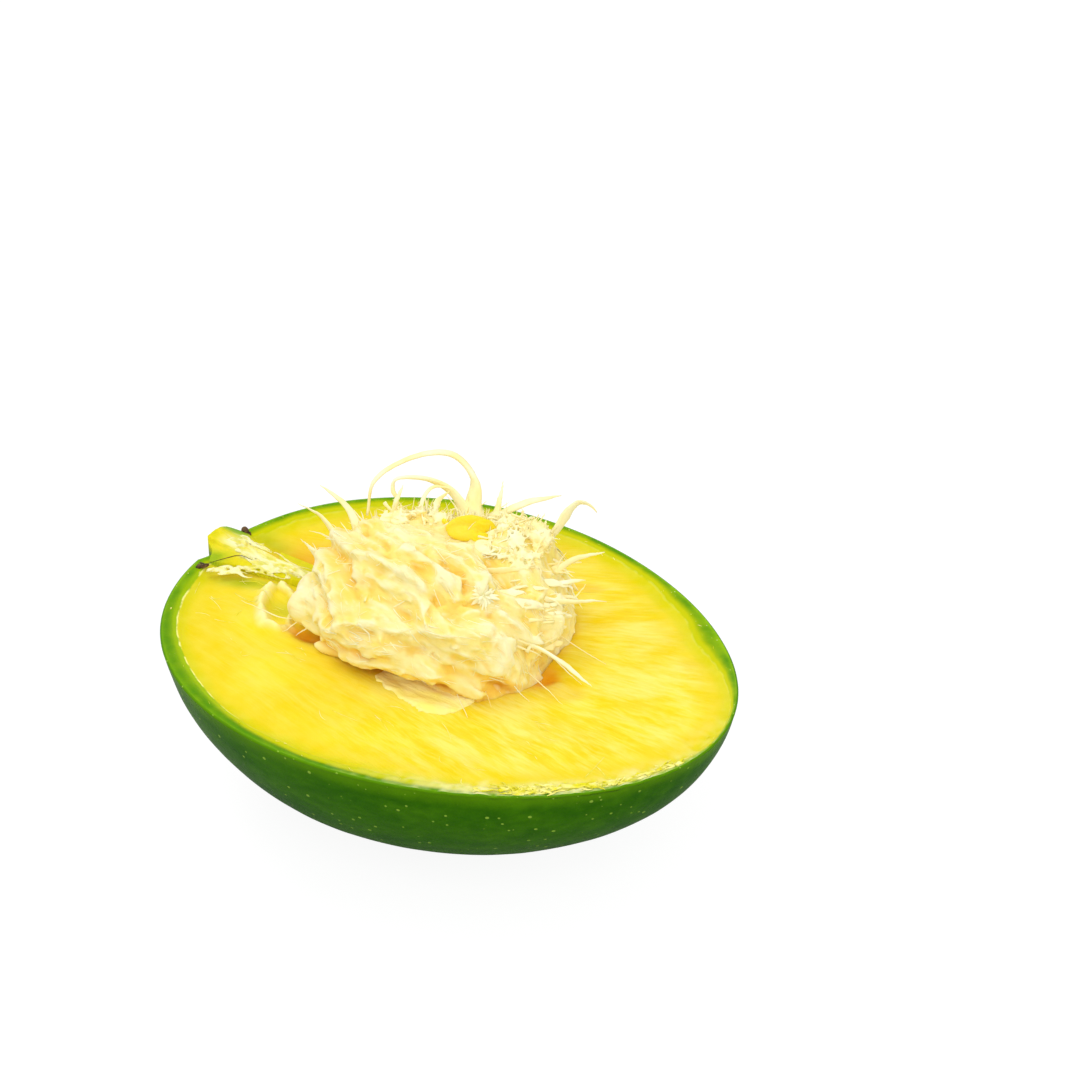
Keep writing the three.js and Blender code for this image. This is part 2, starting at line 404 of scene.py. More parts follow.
def patches(tree, place, scale, contrast):
    """The mask of soft uneven patches at a place of the surface."""
    return tree.group(CLOUDY_PATCHES, Place=place, Scale=scale, Contrast=contrast)["Mask"]


# ---- finishes ------------------------------------------------------------------------------------

def skin_finish():
    """Waxy green skin with pale pores, a few dark specks and streaks that run from stem to tip."""
    material, tree, shader = new_material("waxy_green_skin")
    place = tree.stretched(1, 1, 1)
    streaks = patches(tree, tree.stretched(0.22, 1, 1), 0.45, 0.8)
    blotches = patches(tree, tree.stretched(0.5, 1, 1), 0.9, 2.0)
    towards_stem = tree.spread(tree.along(place, 0), -12, -34)
    # Painted highlight: the skin is painted lighter green close to the rim.
    rim_highlight = tree.spread(tree.value("rind"), -2.6, 0.0)
    green = tree.mix(patches(tree, place, 0.06, 1.0), srgb("205a00"), srgb("377002"))
    green = tree.tint(green, "548c04", streaks, 0.5)
    green = tree.tint(green, "1c5200", blotches, 0.25)
    green = tree.tint(green, "5a9604", towards_stem, 0.22)
    green = tree.tint(green, "6ea206", rim_highlight, 0.5)

    pores = tree.node("TexVoronoi", {"Vector": place, "Scale": 0.75, "Randomness": 1.0})
    pore_number = tree.node("SeparateColor", {"Color": pores.outputs["Color"]}).outputs[0]
    size = tree.spread(pore_number, 0.1, 1.0, 0.04, 0.18)
    pore = tree.spread(tree.math("SUBTRACT", size, pores.outputs["Distance"]), -0.02, 0.03)
    green = tree.tint(green, "a4cc48", pore, 0.75)

    specks = tree.node("TexVoronoi", {"Vector": place, "Scale": 0.2, "Randomness": 1.0})
    speck_number = tree.node("SeparateColor", {"Color": specks.outputs["Color"]}).outputs[1]
    speck = tree.spread(specks.outputs["Distance"], 0.03, 0.07, 1.0, 0.0)
    speck = tree.times(speck, tree.spread(speck_number, 0.72, 0.8))
    green = tree.tint(green, "24300a", speck, 0.8)
    tree.feed(shader.inputs["Base Color"], green)

    grain = tree.group(WET_GRAIN, Place=place, Fineness=1.6)
    tree.feed(shader.inputs["Roughness"], tree.spread(grain["Height"], 0.5, 0.9, 0.26, 0.36))
    normal = tree.bump(pore, 0.05, tree.bump(grain["Height"], 0.05))
    tree.feed(shader.inputs["Normal"], normal)
    shader.inputs["Specular IOR Level"].default_value = 0.03
    soften(shader, 0.08, (0.5, 1.0, 0.2), 0.8)
    return material


def flesh_finish():
    """Moist yellow flesh: green where it meets the skin, painted shade of deep orange where it dips
    and round the stone, greenish painted shade beside the stalk's ridge, and pale where it is
    torn. "rind" is 0 at the rim, 1 where green gives way to yellow-green, and 2 at the flesh."""
    material, tree, shader = new_material("moist_yellow_flesh")
    place = tree.stretched(1, 1, 1)
    streaks = tree.group(FIBRE_STREAKS, Across=tree.value("line"), Along=tree.value("along"))
    torn = tree.math("MAXIMUM", tree.value("torn"), 0.32)
    mottled = patches(tree, place, 0.35, 1.2)
    wander = tree.times(tree.math("SUBTRACT", tree.noise(place, 0.6), 0.5), 0.25)
    rind = tree.math("ADD", tree.value("rind"), wander)
    edged = tree.value("edged")
    across = tree.along(place, 1)

    yellow = tree.mix(patches(tree, place, 0.11, 1.1), srgb("eed014"), srgb("f4dc28"))
    yellow = tree.tint(yellow, "f9e874", tree.times(streaks["Pale"], torn), 0.9)
    yellow = tree.tint(yellow, "eecc06", tree.times(streaks["Deep"], torn), 0.65)
    # Painted shade: deep orange where the cut face dips, round the stone's foot and on its far
    # side.
    yellow = tree.tint(yellow, "e8980a", tree.spread(tree.value("dip_shade"), 0.0, 1.0), 0.9)
    yellow = tree.tint(yellow, "e4ce00", tree.spread(rind, 2.0, 6.0, 0.85, 0.0))
    yellow = tree.tint(yellow, "d2d000", tree.spread(rind, 1.9, 3.3, 0.8, 0.0))
    # Painted shade: greenish beside the stalk's ridge and in the cup of pulp.
    yellow = tree.tint(yellow, "9cb006", tree.value("greenish_shade"), 0.8)
    yellow = tree.tint(yellow, "fff27a", mottled, 0.12)

    # The rind: pale pores, a painted highlight of light green along its outer edge, and a dark line
    # that is faint on the left.
    green = tree.mix(mottled, srgb("549000"), srgb("82aa04"))
    pores = tree.node("TexVoronoi", {"Vector": place, "Scale": 1.5, "Randomness": 1.0})
    pore = tree.spread(pores.outputs["Distance"], 0.08, 0.17, 1.0, 0.0)
    pore = tree.times(pore, tree.spread(tree.noise(place, 0.35), 0.5, 0.62))
    green = tree.tint(green, "e4f0a8", tree.times(pore, tree.spread(rind, 0.3, 0.9, 0.8, 0.3)))
    # Painted highlight: lighter green along the rim's edge.
    green = tree.tint(green, "98c80e", tree.spread(rind, 0.1, 0.5, 0.5, 0.0))
    dark_line = tree.times(tree.spread(rind, 0.5, 0.8), tree.spread(rind, 0.95, 1.2, 1.0, 0.0))
    dark_line = tree.times(dark_line, tree.math("SUBTRACT", 0.75, edged, clamp=True))
    dark_line = tree.times(dark_line, tree.spread(across, -4, -12, 0.1, 1.0))
    green = tree.tint(green, "3f7a06", dark_line)
    green = tree.tint(green, "4c8800", tree.spread(across, -7, -15, 0.0, 0.45))
    yellow_green = tree.mix(edged, srgb("c6c800"), srgb("9cba06"))
    green = tree.mix(tree.spread(rind, 0.55, 1.5), green, yellow_green)

    # A broken pale line parts the rind from the flesh.
    flesh = tree.mix(tree.spread(rind, 1.85, 2.1), green, yellow)
    line = tree.times(tree.spread(rind, 1.8, 1.9), tree.spread(rind, 1.98, 2.12, 1.0, 0.0))
    line = tree.times(line, tree.spread(tree.noise(place, 0.5), 0.38, 0.55))
    line = tree.times(line, tree.math("ADD", tree.times(edged, 0.8), 0.15))
    flesh = tree.tint(flesh, "f6f490", line)
    flesh = tree.tint(flesh, "fcf5b4", tree.value("ragged"), 0.9)
    tree.feed(shader.inputs["Base Color"], flesh)

    grain = tree.group(WET_GRAIN, Place=place, Fineness=1.3)
    tree.feed(shader.inputs["Roughness"], tree.spread(grain["Height"], 0.5, 0.9, 0.28, 0.42))
    normal = tree.bump(grain["Height"], 0.05)
    normal = tree.bump(tree.times(streaks["Height"], torn), 0.1, normal)
    tree.feed(shader.inputs["Normal"], normal)
    shader.inputs["Specular IOR Level"].default_value = 0.04
    soften(shader, 0.35, (1.0, 0.7, 0.15), 1.0)
    return material


def coat_finish(name, softness, darker, paler):
    """The stone's matted fibre coat: cream, with painted shade of peach to orange in its hollows
    and a painted highlight of near white on its ridges.
    """
    material, tree, shader = new_material(name)
    along = tree.stretched(0.25, 1, 1)
    hollow, streak = tree.value("hollow"), tree.value("streak")
    clouds = patches(tree, tree.stretched(0.7, 1, 1), 0.32, 1.6)
    cream = tree.mix(patches(tree, tree.stretched(1, 1, 1), 0.14, 1.0), srgb(darker), srgb(paler))
    cream = tree.tint(cream, "fff4ca", clouds, 0.4)
    # Painted shade in the hollows and a painted highlight on the ridges, from the mesh's hollow
    # number.
    cream = tree.tint(cream, "f7cc54", tree.spread(hollow, 0.05, 0.9), 0.85)
    cream = tree.tint(cream, "d08c24", tree.spread(hollow, 0.9, 1.9))
    cream = tree.tint(cream, "fff6d0", tree.spread(hollow, -0.1, -0.8), 0.5)
    cream = tree.tint(cream, "fff8d8", tree.spread(streak, 0.1, 0.9, 0.0, 0.4))
    cream = tree.tint(cream, "f4c862", tree.spread(streak, -0.2, -0.9, 0.0, 0.4))
    tree.feed(shader.inputs["Base Color"], cream)
    grain = tree.group(WET_GRAIN, Place=along, Fineness=1.8)
    tree.feed(shader.inputs["Roughness"], tree.spread(grain["Height"], 0.5, 0.9, 0.35, 0.55))
    tree.feed(shader.inputs["Normal"], tree.bump(grain["Height"], 0.16))
    shader.inputs["Specular IOR Level"].default_value = 0.0
    soften(shader, softness, (1.0, 0.85, 0.7), 0.9)
    return material


def dry_finish(name, squeeze, scale, contrast, darker, paler, roughness, gloss):
    """Thin dry-looking stuff: soft patches of two colours, with a little gloss."""
    material, tree, shader = new_material(name)
    mask = patches(tree, tree.stretched(squeeze, squeeze, squeeze), scale, contrast)
    tree.feed(shader.inputs["Base Color"], tree.mix(mask, srgb(darker), srgb(paler)))
    shader.inputs["Roughness"].default_value = roughness
    shader.inputs["Specular IOR Level"].default_value = gloss
    return material


def plug_finish():
    """The stalk's plug: yellow where it is cut, green on its slopes and pale where it is torn."""
    material, tree, shader = new_material("stalk_plug")
    along = tree.stretched(0.3, 1, 1)
    torn = patches(tree, along, 1.4, 2.0)
    pale = tree.times(tree.value("pale"), tree.math("ADD", torn, 0.3, clamp=True))
    yellow = patches(tree, tree.stretched(1, 1, 1), 0.5, 1.0)
    colour = tree.mix(yellow, srgb("d2cc04"), srgb("ecdc1c"))
    colour = tree.tint(colour, "7fae10", tree.value("green"))
    colour = tree.tint(colour, "fdf7b8", pale)
    tree.feed(shader.inputs["Base Color"], colour)
    grain = tree.group(WET_GRAIN, Place=along, Fineness=2.0)
    tree.feed(shader.inputs["Normal"], tree.bump(grain["Height"], 0.12))
    shader.inputs["Roughness"].default_value = 0.35
    shader.inputs["Specular IOR Level"].default_value = 0.08
    soften(shader, 0.3, (1.0, 0.8, 0.2), 0.8)
    return material


def scar_finish():
    """Dark cork, painted paler on the high spots of its grain as a painted highlight."""
    material, tree, shader = new_material("dark_cork")
    place = tree.stretched(1, 1, 1)
    colour = tree.mix(patches(tree, place, 1.6, 1.6), srgb("2c1a0c"), srgb("6b4a26"))
    grain = tree.group(WET_GRAIN, Place=place, Fineness=3.0)
    # Painted highlight: the grain's high spots are painted pale.
    colour = tree.tint(colour, "a58a5a", grain["High Spots"], 0.6)
    tree.feed(shader.inputs["Base Color"], colour)
    tree.feed(shader.inputs["Normal"], tree.bump(grain["Height"], 0.25))
    shader.inputs["Roughness"].default_value = 0.8
    return material


SKIN = skin_finish()
FLESH = flesh_finish()
COAT = coat_finish("matted_fibre_coat", 0.5, "f8dc68", "fbe684")
THIN_COAT = coat_finish("thin_torn_coat", 0.0, "fcee70", "fff48c")
# Loose fibres are paler and clearer than the coat that they grow from.
FIBRE = dry_finish("loose_fibre", 0.6, 0.5, 1.0, "fff0a8", "fffbd4", 0.5, 0.05)
TORN = dry_finish("torn_rind", 1, 0.8, 1.5, "e8e02c", "fbf49a", 0.4, 0.06)
PLUG = plug_finish()
SCAR = scar_finish()


# ---- the fruit half ------------------------------------------------------------------------------

def fullness(x):
    """The fruit's girth at x, as a share of the girth at its middle."""
    t = np.clip((x - MIDDLE_X) * 2 / LENGTH, -1, 1)
    return np.sqrt(1 - t * t) * (1 - STEM_FULLNESS * t)


def underside(x, y):
    """The height of the skin below a point of the cut face."""
    girth = np.maximum(fullness(x), 1e-6)
    across = np.clip(y * 2 / (WIDTH * girth), -1, 1)
    return AXIS_Z - DEPTH * girth * np.sqrt(1 - across**2)


def rim_distance(angles):
    """How far the rim is from the stone's middle in each direction."""
    near, far = np.zeros_like(angles), np.full_like(angles, LENGTH)
    for _ in range(40):
        middle = (near + far) / 2
        x = STONE_MIDDLE[0] + middle * np.cos(angles)
        y = STONE_MIDDLE[1] + middle * np.sin(angles)
        inside = underside(x, y) < CUT_Z
        near, far = np.where(inside, middle, near), np.where(inside, far, middle)
    return near


def even_angles(count):
    """Directions that cut the rim into equal lengths."""
    angles = np.linspace(0, 2 * math.pi, 4001)
    reach = rim_distance(angles)
    rim = np.stack([reach * np.cos(angles), reach * np.sin(angles)], 1)
    along = np.concatenate([[0], np.cumsum(np.linalg.norm(np.diff(rim, axis=0), axis=1))])
    return np.interp(np.arange(count) * along[-1] / count, along, angles)


def stone_reach(directions):
    """How far the stone's plain shape reaches in each direction from its middle."""
    c, s = math.cos(STONE_TURN), math.sin(STONE_TURN)
    x = directions[..., 0] * c + directions[..., 1] * s
    y = -directions[..., 0] * s + directions[..., 1] * c
    z = directions[..., 2]
    height = np.where(z > 0, STONE_ABOVE, STONE_BELOW)
    sizes = ((x, STONE_HALF[0]), (y, STONE_HALF[1]), (z, height))
    total = sum(np.abs(way / half) ** STONE_SQUARENESS for way, half in sizes)
    return total ** (-1 / STONE_SQUARENESS)


def press_dimple(points):
    """Pushes points out of the round hollow that the stalk left at the stem end."""
    centre = np.array([STEM_X - DIMPLE_RADIUS + DIMPLE_DEPTH, 0, AXIS_Z])
    away = points - centre
    distance = np.linalg.norm(away, axis=-1, keepdims=True)
    return np.where(distance < DIMPLE_RADIUS, centre + away / distance * DIMPLE_RADIUS, points)


# How far in from the rim the rings of the lip lie, and how high the cut lies along the rind.
LIP_DEPTHS = np.array(
    [0, 0.1, 0.22, 0.36, 0.52, 0.7, 0.9, 1.1, 1.32, 1.55, 1.8, 2.1, 2.45, 2.85, 3.3]
)
LIP_PROFILE = (
    [0, 0.8, 1.2, 1.9, 2.15, 2.6, 4.0, 8.0],
    [0, -0.02, -0.12, -0.2, -0.42, -0.6, -0.62, -0.45],
)
AROUND = 720  # points round the rim
SKINNED_RINGS = 2  # how many bands in from the rim still wear skin
FACE_RINGS = 74  # rings of points from the lip to the stone's foot
SEAT_RINGS = 8
SEAT_GAP, SEAT_POLE_GAP = 0.5, 0.8  # room under the stone, at its sides and at its lowest point
RIM_TURNS = np.array([0.012, 0.026, 0.042, 0.06])  # the skin's close rings, in radians below it
SKIN_RINGS = 62


def rim_and_foot():
    """The rim, the way in from it, and the foot of the stone, as AROUND flat points of the cut."""
    angles = even_angles(AROUND)
    out = np.stack([np.cos(angles), np.sin(angles)], 1)
    middle = STONE_MIDDLE[:2]
    rim = middle + out * rim_distance(angles)[:, None]
    tangent = np.roll(rim, -1, axis=0) - np.roll(rim, 1, axis=0)
    inward = np.stack([-tangent[:, 1], tangent[:, 0]], 1)
    inward /= np.linalg.norm(inward, axis=1, keepdims=True)
    rim = press_dimple(np.concatenate([rim, np.full((AROUND, 1), CUT_Z)], 1))[:, :2]
    flat = np.concatenate([out, np.zeros((AROUND, 1))], 1)
    gap = -0.5 - 3.0 * smooth_step(0.4, 0.78, -0.3 * out[:, 0] - 0.95 * out[:, 1])
    foot = middle + out * (stone_reach(flat) + gap)[:, None]
    return rim, inward, foot


RIM, RIM_INWARD, STONE_FOOT = rim_and_foot()


def nearest_distance(points, line):
    """How far each of some flat points is from the nearest point of a line."""
    return np.concatenate([
        np.min(np.linalg.norm(part[:, None] - line[None], axis=2), axis=1)
        for part in np.array_split(points, len(points) // 500 + 1)
    ])


def fibre_lines(x, y):
    """A number that stays the same along each of the flesh's fibres, about 1 mm apart."""
    place = flat_points(x, y)
    spread = np.exp(-x / np.where(y > 0, SPREAD_FAR, SPREAD_NEAR))
    return y * spread + 0.5 * noise(place, 11, 8) + 0.12 * noise(place, 3, 9)


# Each row: the direction from the stone's middle in degrees, how far the rind's green reaches in
# from the rim there, and how far its yellow-green reaches.
RIND_TABLE = np.array([
    (-180, 1.1, 1.7), (-150, 1.4, 2.0), (-137, 1.5, 2.2), (-125, 1.6, 2.3), (-115, 1.5, 2.2),
    (-100, 1.2, 2.0), (-83, 0.9, 2.0), (-41, 0.8, 2.1), (-30, 0.8, 1.9), (-20, 0.7, 1.5),
    (-10, 0.6, 1.1), (0, 0.4, 0.6), (8, 0.4, 0.6), (15, 0.9, 1.4), (27, 2.0, 3.0),
    (41, 1.5, 2.4), (55, 0.9, 1.6), (81, 0.9, 1.8), (120, 1.0, 2.1), (150, 1.0, 2.2),
    (170, 1.0, 2.0), (180, 1.1, 1.7),
])
RIND_TURNS, RIND_GREEN, RIND_WHOLE = RIND_TABLE.T


def turn_about_stone(x, y):
    """The direction of a point of the cut face from the stone's middle, in degrees."""
    return np.degrees(np.arctan2(y - STONE_MIDDLE[1], x - STONE_MIDDLE[0]))


def rind_share(x, y, from_rim):
    """0 at the rim, 1 where the green gives way to yellow-green, 2 where the flesh begins."""
    turn, place = turn_about_stone(x, y), flat_points(x, y)
    calm = 1 - 0.6 * bell(turn + 125, 45)
    ragged = 1 + calm * (0.1 * noise(place, 4, 6) + 0.06 * noise(place, 1.2, 7))
    depth = from_rim * ragged
    green, whole = (np.interp(turn, RIND_TURNS, reach) for reach in (RIND_GREEN, RIND_WHOLE))
    yellowish = 1 + (depth - green) / (whole - green)
    flesh = 2 + (depth - whole) / 1.5
    return np.where(depth < green, depth / green, np.where(depth < whole, yellowish, flesh))


# The pale uneven edges of the cup of pulp beside the stone.
PULP_EDGE = [
    (-22.1, -3.4), (-22.2, -4.8), (-20.8, -6.8), (-19.7, -8.4), (-18.3, -9.5), (-17, -10),
    (-15.7, -9.8), (-14.6, -9),
]
PULP_WALL = [(-21.3, -2.4), (-19.1, -2.9), (-17.3, -4.4), (-16, -6.2), (-15, -8.2)]
PULP_BOWL = (-18.2, -5.9)  # the bottom of the cup


def pulp_relief(x, y):
    """How far the cup of pulp rises from the cut face, and how pale it is."""
    rise, pale = np.zeros_like(x), np.zeros_like(x)
    at = (x > -26) & (x < -11) & (y > -13) & (y < 0)
    place = flat_points(x[at], y[at])
    drift = 0.35 * np.stack([noise(place, 1.6, 46), noise(place, 1.6, 47)], 1)
    edge = nearest_distance(place[:, :2] + drift, smooth_line(PULP_EDGE))
    wall = nearest_distance(place[:, :2] + drift, smooth_line(PULP_WALL))
    uneven = layered_noise(place, 1.3, 48, 3)
    ridge = bell(edge, 0.85) * (0.8 + 0.6 * uneven)
    sheet = bell(wall, 0.4) * (0.8 + 0.3 * uneven)
    bowl = spot(x[at], y[at], PULP_BOWL, (2.4, 2.2))
    rise[at] = 1.2 * np.maximum(ridge, sheet) - 0.7 * bowl + 0.15 * uneven * bell(edge, 3)
    pale[at] = np.clip(np.maximum(ridge, sheet) * 1.3 - 0.15, 0, 1) - 0.5 * bowl
    return rise, np.clip(pale, 0, 1)


def smooth_line(route):
    """Close points of a flat line through a route."""
    knots = np.array(route)
    share = np.linspace(0, len(knots) - 1, len(knots) * 10)
    return np.stack([np.interp(share, np.arange(len(knots)), knots[:, i]) for i in range(2)], 1)


def face_relief(x, y, from_rim, from_stone):
    """The cut face's height from the cut, with the numbers that colour it, at each point."""
    place = flat_points(x, y)
    towards_tip = smooth_step(-16, 12, x + 0.35 * y)
    far_side = smooth_step(4, 16, y)
    rind = rind_share(x, y, from_rim)
    lip = np.interp(from_rim, [0, 0.1, 0.3], [-0.22, -0.06, 0])  # the rounded edge
    lip = lip + np.interp(rind, *LIP_PROFILE)
    lip *= 1 + 0.25 * noise(place, 6, 5)

    # Streaks run along the fibres. They are torn and deep towards the tip.
    line = fibre_lines(x, y)
    broad = noise(flat_points(line / 1.5, x / 8), 1, 11)
    fine = noise(flat_points(line / 0.6, x / 5), 1, 12)
    inner = smooth_step(1.6, 3.2, from_rim)
    roughness = inner * (0.07 + 0.93 * towards_tip)
    streaks = roughness * (0.09 * broad + 0.04 * fine)

    swell = 0.16 * inner * layered_noise(place, 14, 21, 2)
    gouges = smooth_step(0.45, 0.8, noise(flat_points(line / 3, x / 10), 1, 31))
    gouges = gouges * inner * towards_tip

    # The hollow on the far side of the fibre ridge, and the crevice round the stone.
    hollow = spot(x, y, (-21, 5.2), (8.5, 4.2))
    near_left = smooth_step(0.2, 1.0, (-0.6 * x - 1.3 * y) / 14)
    crevice = bell(from_stone, 1.0 + 1.3 * near_left) * (0.35 + 0.3 * near_left)
    pocket = spot(x, y, (-12.4, -8.8), (2.8, 1.1)) + spot(x, y, (17.2, 1.2), (1.4, 2.0))
    left_line = smooth_step(-4, -14, x) * smooth_step(0, -8, y)
    height = lip + streaks + swell - 0.25 * gouges - 1.6 * hollow - crevice - 0.8 * pocket
    # Painted shade: the hollow behind the fibre ridge, the crevice and pockets round the stone, the
    # gouges and the far side are painted deeper orange.
    dip_shade = 0.79 * hollow + (1.0 + 0.7 * near_left) * crevice
    dip_shade = np.clip(dip_shade + 0.26 * gouges + 0.13 * far_side + pocket, 0, 1)

    # The blade tore the rind on the near side towards the tip.
    ragged = bell(turn_about_stone(x, y) + 34, 26)
    ragged = ragged * smooth_step(4.2, 1.6, from_rim + 0.9 * noise(place, 3, 33))
    crumbs = 0.6 * layered_noise(flat_points(x * 0.8, y), 1.1, 34, 2)
    crumbs = crumbs + 0.4 * noise(place, 0.6, 36)
    height += ragged * 0.3 * crumbs
    ragged = ragged * np.clip(0.5 + 1.1 * crumbs, 0, 1)
    rise, pale = pulp_relief(x, y)
    height += rise
    ragged = np.maximum(ragged, pale)

    # Painted shade: the flesh is painted greenish on both sides of the stalk's ridge and in the cup
    # of pulp.
    greenish_shade = spot(x, y - 0.35 * (x + 25.8), (-25.8, -4.1), (4.2, 1.3))
    greenish_shade += 0.7 * spot(x, y, (-29.5, 5.6), (3.5, 1.6))
    greenish_shade += 0.6 * spot(x, y, PULP_BOWL, (2.2, 2))
    values = dict(rind=rind, torn=roughness, dip_shade=dip_shade, line=line, along=x)
    return height, dict(values, edged=left_line, greenish_shade=greenish_shade, ragged=ragged)


def face_height(x, y):
    """The height of the cut face, from the cut, at any of its points."""
    place = np.stack([x, y], 1)
    return face_relief(x, y, nearest_distance(place, RIM), nearest_distance(place, STONE_FOOT))[0]


def build_fruit():
    """Skin, rind, flesh and the stone's seat, as one closed body."""
    middle = STONE_MIDDLE[:2]
    rings = [RIM + RIM_INWARD * depth for depth in LIP_DEPTHS]
    depths = [np.full(AROUND, depth) for depth in LIP_DEPTHS]
    last = rings[-1]
    for i in range(1, FACE_RINGS + 1):
        rings.append(last + (STONE_FOOT - last) * (i / FACE_RINGS))
        depths.append(LIP_DEPTHS[-1] + np.linalg.norm(rings[-1] - last, axis=1))
    stone_gaps = [np.linalg.norm(ring - STONE_FOOT, axis=1) for ring in rings]

    x, y = np.concatenate(rings).T
    height, face_values = face_relief(x, y, np.concatenate(depths), np.concatenate(stone_gaps))
    names = list(face_values)
    points = [flat_points(x, y, CUT_Z + height)]
    values = [np.stack([face_values[name] for name in names], 1)]
    face_rings = [np.arange(AROUND) + i * AROUND for i in range(len(rings))]
    # The seat under the stone is painted fully in the flesh's deep orange painted shade.
    in_seat = [{"rind": 20.0, "dip_shade": 1.0}.get(name, 0.0) for name in names]
    under_skin = [0.0] * (len(names) - 1)  # after the first, which says how far below the rim

    def add_ring(ring, ring_values):
        """Adds a ring of points, or a single one, and gives back their numbers."""
        start = sum(len(part) for part in points)
        points.append(ring)
        values.append(ring_values)
        return np.arange(len(ring)) + start

    # The seat goes down under the stone.
    seat = []
    foot_z = points[0][-AROUND:, 2]
    for i, slope in enumerate(np.linspace(0.04, 0.5, SEAT_RINGS + 1)[:-1] * math.pi):
        step = 1 if i < 2 else 2
        reach = STONE_FOOT[::step] - middle
        z = foot_z[::step] - (STONE_BELOW + SEAT_GAP) * math.sin(slope)
        ring = np.concatenate([middle + reach * math.cos(slope), z[:, None]], 1)
        seat.append(add_ring(ring, np.tile(in_seat, (len(ring), 1))))
    seat_floor = np.array([[*middle, CUT_Z - STONE_BELOW - SEAT_POLE_GAP]])
    seat_pole = add_ring(seat_floor, np.array([in_seat]))[0]

    # The skin goes down from the rim to the flat spot.
    skin = []
    full = math.asin(math.sqrt(1 - (CUT_BELOW_AXIS / DEPTH) ** 2))
    slopes = np.concatenate([full - RIM_TURNS, np.linspace(full - 0.085, 0.02, SKIN_RINGS)])
    for i, slope in enumerate(slopes):
        step = 1 if i < len(RIM_TURNS) else 2
        ring = RIM[::step] * (math.sin(slope) / math.sin(full))
        z = underside(ring[:, 0], ring[:, 1])
        ring = press_dimple(np.concatenate([ring, z[:, None]], 1))
        below = np.full(len(ring), (slope - full) * DEPTH)
        skin.append(add_ring(ring, np.column_stack([below, np.tile(under_skin, (len(ring), 1))])))
    skin_pole = add_ring(np.zeros((1, 3)), np.array([[-40.0, *under_skin]]))[0]

    faces, kinds = [], []
    on_skin, on_flesh = 0, 1  # each material's place in the piece's list

    def cover(new_faces, kind):
        faces.extend(new_faces)
        kinds.extend([kind] * len(new_faces))

    for i, (ring, after) in enumerate(zip(face_rings, face_rings[1:])):
        cover(stitch(ring, after), on_skin if i < SKINNED_RINGS else on_flesh)
    chain = [face_rings[-1], *seat]
    for ring, after in zip(chain, chain[1:]):
        cover(stitch(ring, after), on_flesh)
    cover([[a, b, seat_pole] for a, b in zip(seat[-1], np.roll(seat[-1], -1))], on_flesh)
    chain = [face_rings[0], *skin]
    for ring, after in zip(chain, chain[1:]):
        cover([f[::-1] for f in stitch(ring, after)], on_skin)
    cover([[b, a, skin_pole] for a, b in zip(skin[-1], np.roll(skin[-1], -1))], on_skin)

    # Low waves in the skin. The rim and the flat spot stay where they are.
    points, values = np.concatenate(points), np.concatenate(values)
    undulate = values[:, 0] < 0
    outward = points - np.array([MIDDLE_X, 0, AXIS_Z])
    outward /= np.linalg.norm(outward, axis=1, keepdims=True)
    swell = 0.16 * noise(points, 13, 41) + 0.03 * noise(points, 2.6, 42)
    fade = smooth_step(0, -3, values[:, 0]) * smooth_step(0, 2.5, points[:, 2])
    points[undulate] += (outward * (swell * fade)[:, None])[undulate]
    points[:, 2] = np.maximum(points[:, 2], 0)
    named = {name: values[:, i] for i, name in enumerate(names)}
    faces = [[int(n) for n in f] for f in faces]
    fruit = make_mesh("fruit_half", points, faces, [SKIN, FLESH], kinds, named)
    return dress(fruit, "fruit", "cut_half")


# ---- the stone -----------------------------------------------------------------------------------

